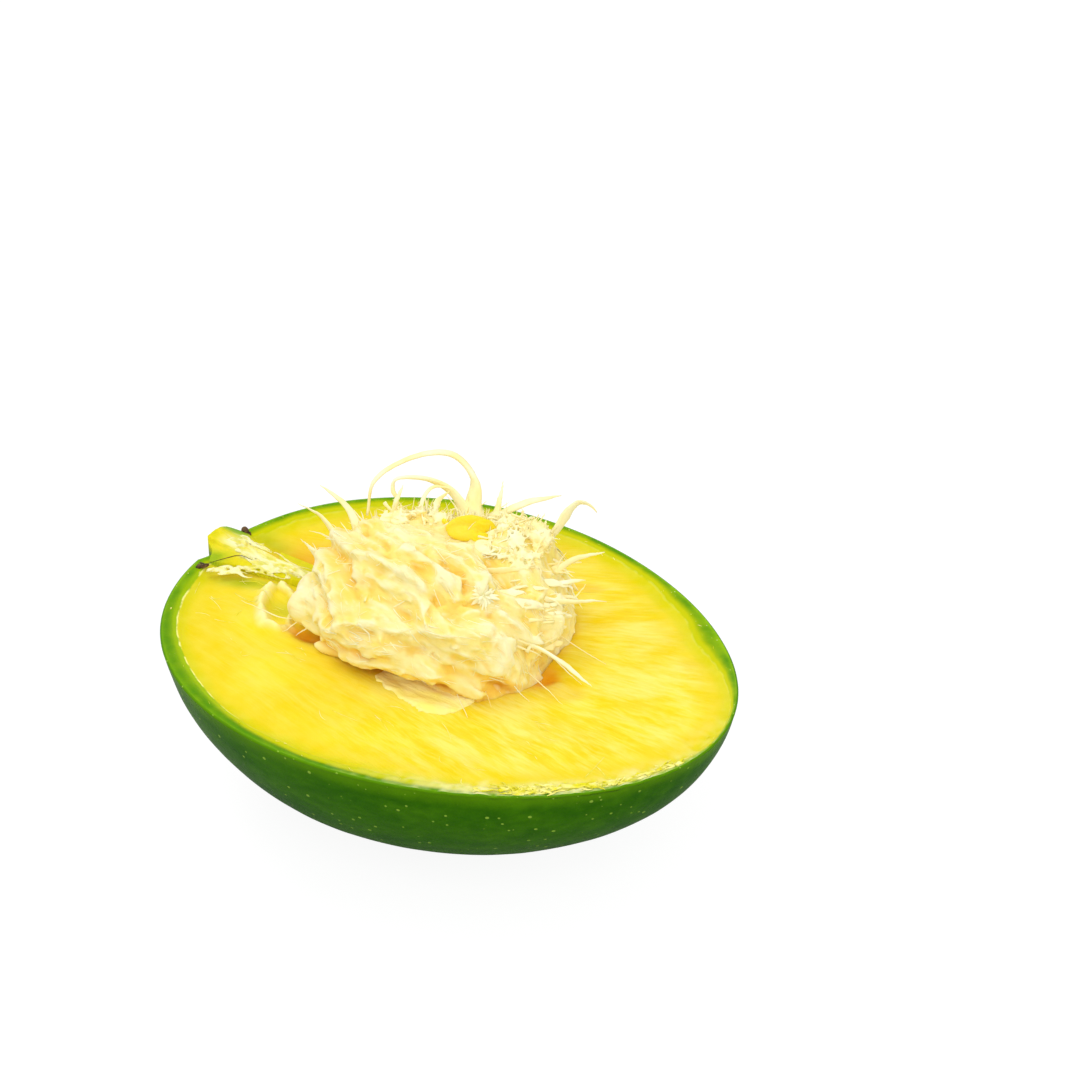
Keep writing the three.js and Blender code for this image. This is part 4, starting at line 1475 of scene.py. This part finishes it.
def build_fine_fibres():
    """Thin short fibres: some that stand off the coat, many that lie matted on it, and a crest."""
    def everywhere(p):
        right = smooth_step(3, 12, p[:, 0] + 0.5 * p[:, 1])
        back = smooth_step(2, 9, p[:, 1])
        return (0.12 + 0.5 * back) * (1 - 0.9 * right) * smooth_step(3, 6, p[:, 2])

    d = scattered_roots(170, 9, everywhere)
    coat = laid_strands(
        d, outward_headings(d, (0.35, 0.25, 0.15), 1.0), 19,
        length=(1, 4.5), width=(0.1, 0.26), thickness=(0.08, 0.18), lift=(0, 2.2),
        sides=4, steps=7, sink=0.2,
    )

    def front(p):
        return 0.6 * smooth_step(10, 6, p[:, 1]) * smooth_step(0.5, 3, p[:, 2])

    d = scattered_roots(640, 11, front)
    ways = fold_ways(on_stone(d)) + 0.3 * np.random.default_rng(12).normal(size=d.shape)
    matted = laid_strands(
        d, ways, 21, length=(1.5, 5), width=(0.07, 0.18), thickness=(0.06, 0.12), lift=(0.02, 0.35),
        sides=4, steps=7, sink=0.1,
    )

    def rear(p):
        high_back = smooth_step(5, 10, p[:, 1]) * smooth_step(5, 8, p[:, 2])
        return high_back * smooth_step(10, 6.5, p[:, 0])

    d = scattered_roots(190, 10, rear)
    upright = outward_headings(d, (-0.15, 0.3, 1.2), 0.5)
    upright = upright + 0.35 * np.random.default_rng(17).normal(size=d.shape)
    crest = laid_strands(
        d, upright, 20, length=(0.8, 3), width=(0.12, 0.4), thickness=(0.1, 0.2), lift=(0.5, 2.6),
        sides=4, steps=8, stray=0.9,
    )
    return dress_parts("fine_fibres", [coat, crest, matted], FIBRE, "fibre")


def build_feathers():
    """Bright flat fibres that point away from the stem on the stone's far right side."""

    def right(p):
        far = smooth_step(7, 12, p[:, 0] + 0.35 * p[:, 1])
        return far * smooth_step(-4, 1, p[:, 1]) * smooth_step(2, 4, p[:, 2])

    d = scattered_roots(16, 27, right)
    ways = outward_headings(d, (1.1, 0.85, 0.1), 0.35)
    long = laid_strands(
        d, ways, 28, length=(3, 6), width=(0.6, 1.4), thickness=(0.14, 0.22), lift=(0.4, 1.6),
        sides=8, steps=22, stray=0.4, uneven=0.4,
    )
    d = scattered_roots(30, 29, right)
    short = laid_strands(
        d, outward_headings(d, (1.0, 0.85, 0.2), 0.5), 30,
        length=(1, 3), width=(0.2, 0.6), thickness=(0.12, 0.2), lift=(0.2, 0.9),
        sides=6, steps=14, uneven=0.4,
    )
    spikes = [
        ((0.9, 0.7, 0.1), [(8.4, 2.7, 10.3), (10, 3.9, 10.4), (11.6, 6.2, 10.3)]),
        ((0.6, 0.4, 0.1), [(11.2, 4.2, 9.2), (12.2, 5.9, 9), (13.2, 7.6, 8.8)]),
        ((1.0, 0.8, 0.1), [(12.2, 6.4, 7.8), (14.6, 8.4, 7.8), (16.8, 10.2, 8)]),
        ((1.2, 0.9, 0.1), [(12.8, 4.9, 6.8), (14.8, 6.7, 7), (16.1, 7.3, 6.4), (18.6, 9.3, 6.4)]),
        ((0.5, 0.35, 0.1), [(16.4, 7.5, 6.4), (17, 8.6, 7.1), (17.4, 9.2, 7.8)]),
        ((0.5, 0.4, 0.1), [(11.6, 1.4, 9.2), (12.2, 2.9, 9.3), (12.9, 4.4, 9.2)]),
        ((0.8, 0.6, 0.1), [(6.4, 5.2, 10.7), (8.4, 5.8, 10.7), (10.4, 6.6, 10.5)]),
        ((0.7, 0.5, 0.1), [(10.8, 9.4, 8.4), (12.6, 11.4, 8.4), (14.4, 12.8, 8.6)]),
    ]
    blades = [
        ribbon(route, widths, 320 + i, 0.3, 30, 8, uneven=0.35)
        for i, (widths, route) in enumerate(spikes)
    ]
    return dress_parts("feathery_fibres", [long, short, *blades], FIBRE, "fibre")


def build_wool():
    """Short curly wool in small clumps on the stone's far shoulder, thickest on its right."""
    rng = np.random.default_rng(25)
    clumps, curls = [], []
    for i in range(120):
        if i < 70:
            place = np.array([3.2 + 6.4 * rng.random(), 5 + 8 * rng.random(), 9.5])
        else:
            place = np.array([-9 + 12 * rng.random(), 0, 9.5])
            place[1] = 6.2 + 0.28 * place[0] + 5 * rng.random()
        out = unit(place - [*STONE_MIDDLE[:2], 0])
        base = on_stone(out[None], detail=True)[0] - CUT
        if i % 3 == 0:
            radii = (0.5 + 0.5 * rng.random(3)) * [1, 1, 0.8]
            clumps.append(lump(base, radii, 180 * rng.random(), 400 + i, 0.45))
        for j in range(4):
            knots = [base + 0.4 * rng.normal(size=3)]
            way = unit(rng.normal(size=3) + out)
            for _ in range(4):
                way = unit(way + 0.9 * rng.normal(size=3) + 0.15 * out)
                knots.append(knots[-1] + way * (0.3 + 0.3 * rng.random()))
            curls.append(ribbon(knots, (0.3, 0.26, 0.1), 700 + i * 4 + j, 0.5, 13, 6, uneven=0.3))
    wool = fuse("curly_wool", clumps + curls, 0.12, FIBRE)
    return dress(wool, "fibre")


def build_star_tuft():
    """A tuft of short fibres that burst from one point of the coat."""
    rng = np.random.default_rng(23)
    count, steps = 90, 8
    out = unit(np.array([9.7, -2.0, CUT_Z + 9.3]) - STONE_MIDDLE)
    middle = on_stone(out[None], detail=True)[0] + out * 0.3
    spread = rng.normal(size=(count, 3))
    steep = 0.25 + 0.5 * rng.random(count)
    ways = unit(spread - out * (spread @ out)[:, None] + out * steep[:, None])
    reach = 0.7 + 1.7 * rng.random(count) ** 1.5
    share = np.linspace(0, 1, steps)[:, None, None]
    centres = middle + ways[None] * reach[None, :, None] * share - out * (share**2) * 0.6
    normals = np.broadcast_to(out, centres.shape)
    wide, thick = 0.1 + 0.2 * rng.random(count), np.full(count, 0.1)
    tuft = swept_strands(centres, normals, wide, thick, 5, leaf_profile(steps))
    return dress_parts("star_tuft", [tuft], FIBRE, "fibre")


# ---- torn flesh and the stem end -----------------------------------------------------------------

def build_scrap():
    """The scrap of the other half's flesh on the stone's top."""
    rng = np.random.default_rng(46)
    parts = [
        lump((1.5, 7.3, 11.4), (2.9, 0.9, 1.9), 38, 33, 0.4),
        lump((3.0, 7.9, 11.3), (1.7, 0.8, 1.9), 50, 34, 0.4),
        lump((1.6, 6.0, 11.4), (2.2, 1.2, 0.8), 20, 35, 0.35),
        lump((3.6, 6.4, 11.3), (1.3, 1.0, 0.8), 40, 36, 0.35),
    ]
    for i in range(16):
        start = np.array([1.8, 6.2, 11.5]) + rng.normal(size=3) * [1.3, 0.5, 0.4]
        away = np.array([0.8 * rng.normal(), -0.4, -1 + 0.6 * rng.normal()])
        shred = [start, start + away * 0.6, start + away * 1.3]
        parts.append(ribbon(shred, (0.6, 0.4, 0.15), 500 + i, 0.5, 8, 6))
    scrap = fuse("clinging_scrap", parts, 0.13, FLESH)
    points = mesh_points(scrap.data)
    set_value(scrap.data, "rind", np.full(len(points), 12.0))
    set_value(scrap.data, "torn", np.full(len(points), 0.35))
    set_value(scrap.data, "line", points[:, 0] * 0.4 + points[:, 2])
    set_value(scrap.data, "along", points[:, 0])
    return dress(scrap, "flesh", "clinging_flesh")


SCAR_RADIUS = 4.7
SCAR_THICKNESS = 0.45
SCAR_INSET = 1.6  # how far the ring lies from the stem end


def build_scar():
    """The corky half ring that the stalk left, lumpy and dark."""
    steps, sides = 120, 14
    turn = np.linspace(math.pi, 2 * math.pi, steps)
    x = STEM_X + SCAR_INSET
    points = []
    for i, angle in enumerate(turn):
        place = np.array([[math.cos(angle) * 4, math.sin(angle) * 4, 0]])
        thick = SCAR_THICKNESS * (1 + 0.3 * noise(place, 0.7, 51)[0])
        if i in (0, steps - 1):
            thick *= 0.7
        for k in range(sides):
            a = 2 * math.pi * k / sides
            reach = SCAR_RADIUS + thick * math.cos(a)
            y, z = reach * math.cos(angle), CUT_Z + reach * math.sin(angle)
            points.append([x + thick * math.sin(a), y, z])
    points = np.array(points)
    points += 0.1 * np.stack([noise(points, 0.4, 55 + i) for i in range(3)], axis=1)
    ring = (points, closed_tube_faces(steps, sides))
    near_end = lump((-32.2, -4.9, 0), (1.0, 0.5, 0.45), 55, 52, 0.5)
    far_end = lump((-33.2, 4.6, 0.1), (0.6, 0.35, 0.35), -35, 53, 0.4)
    return dress_parts("stem_scar_ring", [ring, near_end, far_end], SCAR, "scar", "stem_scar")


# The stalk's plug: how high it stands and how far it reaches to each side, at stations along the
# fruit, and the outer edge of its end across the fruit.
PLUG_STATIONS = [-35, -32.5, -30, -28, -25, -18, -14.5]
PLUG_TOP = [1.7, 1.3, 1.05, 0.8, 0.65, 0.5, 0.6]
PLUG_NEAR = [4.3, 3.9, 3.0, 2.5, 2.1, 0.9, 0.9]
PLUG_FAR = [4.2, 4.2, 3.4, 2.6, 2.2, 1.0, 1.0]
PLUG_ACROSS = [-4.6, -3.4, -1.8, -1, 0.9, 3.1, 4.1, 5.2]
PLUG_END = [-32, -32.4, -33.2, -34.7, -34.9, -35, -33.9, -33.2]
PLUG_RIDGE_END = -14.6


def plug_place(x, y):
    """Where a point lies across the stalk's plug, from -1 at its near foot to 1 at its far one."""
    side = y - np.interp(x, [-35, -20, -15], [0.2, 0.3, 0.8])
    near, far = (np.interp(x, PLUG_STATIONS, reach) for reach in (PLUG_NEAR, PLUG_FAR))
    return side / np.where(side < 0, near, far)


def plug_height(x, y):
    """How far the stalk's torn plug and the ridge behind it stand above the cut face."""
    across = plug_place(x, y)
    steep = smooth_step(-29, -33, x)
    near = np.clip(1 + across, 0, 1) ** (1 + 0.9 * steep)
    near = np.where(across > -0.28, 1 - 0.2 * np.abs(across), near * 1.35 * 0.97)
    rounded = np.clip(1 - across**2, 0, 1)
    near = near * steep + rounded * (1 - steep)
    far = np.clip(1 - np.abs(across) ** 2.2, 0, 1)
    return np.interp(x, PLUG_STATIONS, PLUG_TOP) * np.where(across < 0, near, far)


def build_plug():
    """The torn plug of the stalk, roofed over the scar, and the pale ridge from it to the stone."""
    rows, columns = 84, 170
    y = np.linspace(PLUG_ACROSS[0], PLUG_ACROSS[-1], rows)[:, None]
    left = np.interp(y, PLUG_ACROSS, PLUG_END)
    x = (left + (PLUG_RIDGE_END - left) * np.linspace(0, 1, columns) ** 1.3).ravel()
    y = np.repeat(y.ravel(), columns)
    rest, rise, across = face_height(x, y), plug_height(x, y), plug_place(x, y)
    fibrous = smooth_step(0.7, 0.25, np.abs(across)) * smooth_step(-34, -31, x)
    fibrous *= 1 - 0.9 * smooth_step(-0.05, -0.35, across) * smooth_step(-28.5, -30.5, x)
    grain = layered_noise(flat_points(x * 0.2, y), 0.7, 61, 3)
    torn = layered_noise(flat_points(x * 0.5, y), 1.3, 63, 2)
    rise = rise + (0.16 * grain + 0.2 * torn) * smooth_step(0, 0.6, rise) * (0.35 + 0.65 * fibrous)
    lifted = np.maximum(rise, rest + rise * 0.5) - rest
    lifted *= 1 - smooth_step(-32, -29, x) * smooth_step(0.45, 1.0, across)
    z = CUT_Z + np.where(np.abs(across) < 1, rest + lifted, rest - 0.5)
    top, under = np.column_stack([x, y, z]), np.full(len(x), CUT_Z - 1.5)
    plug = slab("stalk_plug", top, under, rows, [PLUG])
    green = smooth_step(0.25, 0.7, across) * smooth_step(-30.5, -33, x)
    green += 0.75 * smooth_step(-0.3, -0.7, across) * smooth_step(-29.5, -32, x)
    green_under = green + 1.2 * smooth_step(-32, -33.5, x)
    set_value(plug.data, "green", np.concatenate([green, green_under]))
    set_value(plug.data, "pale", np.tile(fibrous, 2))
    return dress(plug, "fruit")


def build_stalk_fibres():
    """Pale torn fibres along the ridge from the stalk to the stone, and one brown thread."""
    rng = np.random.default_rng(31)
    steps = 18
    share = np.linspace(0, 1, steps)[:, None]
    x, y, lift = [], [], []
    # Each bundle: how many fibres, where it starts and ends, and how far it spreads.
    bundles = [
        (20, (-32.4, 0.9), (-27.5, 0.5), (-15.5, 0.4), 0.45),
        (14, (-30.6, -0.4), (-26.5, -0.6), (-18, -0.2), 0.4),
        (9, (-32, 1.9), (-27, 1.9), (-19.5, 1.3), 0.4),
        (8, (-29.6, -2.6), (-26.5, -2.1), (-20.5, -0.4), 0.4),
        (8, (-31.6, -5.6), (-28.8, -4.2), (-25, -2.8), 0.25),
        (5, (-28.4, -1.4), (-25, -1.2), (-20.5, -1.0), 0.4),
        (8, (-24, 0.2), (-20, 0.6), (-15, 0.6), 0.5),
    ]
    for count, first, middle, last, spread in bundles:
        whole = smooth_route([(*first, 0), (*middle, 0), (*last, 0)], 60)[:, :2]
        begin = 0.5 * rng.random(count) ** 1.6
        end = np.minimum(begin + 0.12 + 0.8 * rng.random(count) ** 1.5, 1)
        at = begin + (end - begin) * share
        offset = spread * (rng.normal(size=count) + 0.35 * rng.normal(size=count) * share)
        wave = 0.35 * np.sin(at * (4 + 14 * rng.random(count)) + 6 * rng.random(count))
        x.append(np.interp(at, np.linspace(0, 1, 60), whole[:, 0]))
        y.append(np.interp(at, np.linspace(0, 1, 60), whole[:, 1]) + offset + wave)
        loose = rng.random(count) < 0.35
        tips_up = (0.1 + 0.9 * rng.random(count) ** 2) * loose * share**2
        lift.append(tips_up + 0.25 * rng.random(count) * np.sin(math.pi * share))
    x, y, lift = (np.concatenate(part, axis=1) for part in (x, y, lift))
    count = x.shape[1]
    flat = np.stack([x.ravel(), y.ravel()], 1)
    rest = np.maximum(face_height(*flat.T), plug_height(*flat.T)).reshape(x.shape)
    centres = np.stack([x, y, CUT_Z + rest + lift + 0.02], 2)
    normals = np.broadcast_to(UP, centres.shape)
    wide = 0.09 + 0.32 * rng.random(count) ** 2.5
    strands = swept_strands(centres, normals, wide, wide * 0.35 + 0.05, 6, leaf_profile(steps))
    crumbs = []
    for i in range(34):
        at = rng.integers(steps), rng.integers(51)  # somewhere on the first four bundles
        middle = centres[at] - CUT + rng.normal(size=3) * [0.4, 0.2, 0.05]
        size = (0.12 + 0.22 * rng.random(3)) * [1.8, 1, 0.6]
        crumbs.append(lump(middle, size, 30 * rng.normal(), 600 + i, 0.3))
    stalk = fuse("stalk_fibres", [strands, *crumbs], 0.11, PLUG)
    mark_hollows(stalk.data, 5, 0.1)
    points = mesh_points(stalk.data)
    tint = noise(points * [0.4, 1, 1], 0.9, 354)
    # Pale on the fibres' ridges and less pale in their hollows: painted highlight and painted
    # shade, with a random drift from the noise.
    pale = 1.0 + 0.6 * tint - 1.2 * mesh_value(stalk.data, "hollow")
    set_value(stalk.data, "pale", np.clip(pale, 0, 1.4))
    set_value(stalk.data, "green", np.zeros(len(points)))
    dress(stalk, "fibre")
    route = [(-31.6, -4.6, 0.4), (-30.5, -3.2, 0.7), (-28.8, -1.4, 1.0), (-27.2, -1.1, 0.8)]
    thread = ribbon(route, (0.1, 0.14, 0.06), 520, 0.6, 26, 5)
    return dress_parts("brown_thread", [thread], SCAR, "scar")


def rim_place(share):
    """A point of the rim and the way in from it, by its share of the way round."""
    at = np.asarray(share) * AROUND
    low = np.floor(at).astype(int)
    part = (at - low)[..., None]
    low, high = low % AROUND, (low + 1) % AROUND
    return RIM[low] * (1 - part) + RIM[high] * part, RIM_INWARD[low]


def build_torn_rind():
    """Ragged pale bits where the blade tore the rind, mostly on the near side towards the tip."""
    rng = np.random.default_rng(41)
    count, steps = 330, 7
    ragged = 0.845 + 0.13 * rng.random(1400)
    ragged = ragged[noise(flat_points(ragged * 120), 1, 42) > -0.05][:290]
    share = np.concatenate([ragged, rng.random(count - len(ragged))])
    place, inward = rim_place(share)
    tangent = np.stack([inward[:, 1], -inward[:, 0]], 1)
    depth = 0.6 + 1.6 * rng.random(count) ** 1.3
    start = place + inward * depth[:, None]
    way = tangent * rng.choice([-1, 1], count)[:, None]
    way = way + inward * rng.normal(size=count)[:, None] * 0.35
    reach = 0.3 + 1.3 * rng.random(count) ** 2
    reach[len(ragged):] *= 0.4
    along = np.linspace(0, 1, steps)[:, None, None]
    flat = start[None] + unit(way)[None] * reach[None, :, None] * along
    rest = face_height(*flat.reshape(-1, 2).T).reshape(steps, count)
    z = CUT_Z + rest + 0.03 + (0.05 + 0.35 * rng.random(count) ** 3) * along[:, :, 0]
    centres = np.concatenate([flat, z[:, :, None]], 2)
    normals = np.broadcast_to(UP, centres.shape)
    wide = 0.05 + 0.18 * rng.random(count) ** 2
    elsewhere = np.arange(count) >= len(ragged)
    wide[elsewhere] *= 0.4
    bits = swept_strands(centres, normals, wide, wide * 0.5, 6, leaf_profile(steps, 0.2))
    shavings = []
    for i in range(16):
        share = 0.85 + 0.12 * rng.random() + np.linspace(0, 0.006 + 0.014 * rng.random(), 6)
        place, inward = rim_place(share)
        flat = place + inward * (1.2 + 0.8 * rng.random() + 0.25 * rng.normal(size=(6, 1)))
        z = face_height(*flat.T) + 0.05 + 0.15 * rng.random(6)
        wide = 0.2 + 0.25 * rng.random()
        route = np.column_stack([flat, z])
        shavings.append(ribbon(route, (wide, wide * 0.8, 0.1), 360 + i, 0.4, 20, 6, UP))
    return dress_parts("torn_rind", [bits, *shavings], TORN, "fibre")


def build_pulp_threads():
    """Thin pale threads of pulp that the blade drew out of the flesh."""
    rng = np.random.default_rng(44)
    count, steps = 56, 12
    x = np.concatenate([-31 + 22 * rng.random(26), -5 + 38 * rng.random(30)])
    y = np.concatenate([-3 - 14 * rng.random(26), -6 - 16 * rng.random(30)])
    along = np.linspace(0, 1, steps)[:, None, None]
    way = np.stack([np.full(count, 1.0), -0.3 * rng.random(count)], 1)
    way = way + 0.35 * rng.normal(size=(count, 2))
    reach = 1.2 + 3.6 * rng.random(count) ** 1.5
    flat = np.stack([x, y], 1)[None] + unit(way)[None] * reach[None, :, None] * along
    bend = rng.normal(size=count) * 1.0
    flat[:, :, 1] += bend * (along[:, :, 0] - 0.5) ** 2
    inside = nearest_distance(flat[0], RIM) > 2.5
    inside &= nearest_distance(flat[0], STONE_FOOT) > 3.5
    flat = flat[:, inside]
    count = flat.shape[1]
    rest = face_height(*flat.reshape(-1, 2).T).reshape(steps, count)
    centres = np.concatenate([flat, (CUT_Z + rest + 0.02)[:, :, None]], 2)
    normals = np.broadcast_to(UP, centres.shape)
    wide = 0.03 + 0.03 * rng.random(count)
    threads = swept_strands(centres, normals, wide, wide * 0.6, 5, leaf_profile(steps, 0.3))
    return dress_parts("pulp_threads", [threads], TORN, "fibre")


def build_flesh_hairs():
    """Thin hairs that lie on the flesh beside the stone."""
    routes = [
        [(9.5, -7.5, 0.8), (12, -9.6, 0.2), (15.2, -12.2, 0.1)],
        [(12.5, -6, 1.2), (14.6, -7.4, 0.4), (16.2, -8.6, 0.1)],
        [(15, -3.6, 0.9), (17.4, -4.6, 0.2), (19.4, -5.2, 0.1)],
        [(16, -1.4, 1.1), (19.6, -2.2, 0.3), (22.6, -3.4, 0.1)],
        [(16, 2.6, 1.8), (19, 2.2, 0.5), (22, 1.2, 0.1)],
        [(15.5, 6, 2), (18.5, 6.6, 0.6), (22.4, 6.4, 0.1)],
        [(-12.5, -9.2, 1.6), (-13.7, -10.3, 0.5), (-14.4, -10.6, 0.1)],
        [(-10.8, -9.2, 1.4), (-11.8, -10, 0.5), (-12.2, -10.4, 0.1)],
        [(-12.6, -9, 1.7), (-15.5, -9.4, 0.9), (-18.7, -9, 0.4), (-22.4, -8.9, 0.1)],
    ]
    widths = (0.22, 0.16, 0.05)
    hairs = [ribbon(route, widths, 70 + i, 0.7, 24, 5) for i, route in enumerate(routes)]
    return dress_parts("flesh_hairs", hairs, FIBRE, "fibre")


build_fruit()
build_stone()
build_flap()
build_loose_fibres()
build_fine_fibres()
build_feathers()
build_wool()
build_star_tuft()
build_scrap()
build_scar()
build_plug()
build_stalk_fibres()
build_torn_rind()
build_pulp_threads()
build_flesh_hairs()


# ---- floor, light and camera ---------------------------------------------------------------------

FLOOR_HALF = 1500.0
FLOOR_GLOW = 0.62  # how much of what the camera sees of the floor is its glow


def mix_shaders(tree, share, first, second, output):
    """Feeds two shaders to a new output, the second by its share."""
    mixed = tree.node("MixShader", {"Fac": share})
    tree.feed(mixed.inputs[1], first.outputs[0])
    tree.feed(mixed.inputs[2], second.outputs[0])
    tree.feed(tree.node(output).inputs["Surface"], mixed.outputs[0])


def build_floor():
    """A grey floor that glows for the camera only, so that it looks nearly white."""
    material = bpy.data.materials.new("pale_floor")
    tree = bare_tree(material)
    matt = tree.node("BsdfDiffuse", {"Color": (0.42, 0.42, 0.42, 1)})
    glow = tree.node("Emission", {"Color": (1, 1, 1, 1), "Strength": 1.45})
    seen = tree.node("LightPath").outputs["Is Camera Ray"]
    mix_shaders(tree, tree.times(seen, FLOOR_GLOW), matt, glow, "OutputMaterial")
    corners = [[-1, -1, 0], [1, -1, 0], [1, 1, 0], [-1, 1, 0]]
    corners = np.array(corners) * FLOOR_HALF
    floor = make_mesh("floor", corners, [[0, 1, 2, 3]], [material], smooth=False)


def build_world():
    """A white room, a little dimmer as a light than as the camera sees it."""
    world = bpy.data.worlds.new("white_room")
    bpy.context.scene.world = world
    tree = bare_tree(world)
    soft = tree.node("Background", {"Color": (1, 1, 1, 1), "Strength": 0.8})
    white = tree.node("Background", {"Color": (1, 1, 1, 1), "Strength": 1.0})
    seen = tree.node("LightPath").outputs["Is Camera Ray"]
    mix_shaders(tree, seen, soft, white, "OutputWorld")


def add_lamp(name, place, aim, size, watts):
    """A soft square lamp. place, aim and size are in millimetres."""
    lamp = bpy.data.lights.new(name, "AREA")
    lamp.size = size * MM
    lamp.energy = watts
    made = bpy.data.objects.new(name, lamp)
    made.location = Vector(place) * MM
    made.rotation_euler = (Vector(aim) - Vector(place)).to_track_quat("-Z", "Y").to_euler()
    bpy.context.scene.collection.objects.link(made)


def build_lamps():
    """Three soft lamps: above on the stem's side, in front on the right, and low on the right."""
    fruit = (MIDDLE_X, 0, CUT_Z)
    add_lamp("key", (-230, 10, 470), fruit, 240, 0.62)
    add_lamp("fill", (260, -330, 380), fruit, 320, 0.9)
    add_lamp("side", (320, 150, 130), fruit, 200, 0.1)


CAMERA_TURN = math.radians(35.06)
CAMERA_RISE = math.radians(32.14)
CAMERA_PLACE = (163.8, -209.1, 203.7)
CAMERA_LENS = 86.67
SENSOR_WIDTH = 36


def build_camera():
    camera = bpy.data.cameras.new("camera")
    camera.lens = CAMERA_LENS
    camera.sensor_width = SENSOR_WIDTH
    camera.clip_start = 0.01
    made = bpy.data.objects.new("camera", camera)
    made.location = Vector(CAMERA_PLACE) * MM
    made.rotation_euler = (math.pi / 2 - CAMERA_RISE, 0, CAMERA_TURN)
    bpy.context.scene.collection.objects.link(made)
    bpy.context.scene.camera = made


build_floor()
build_world()
build_lamps()
build_camera()
bpy.context.scene.view_settings.view_transform = "Standard"
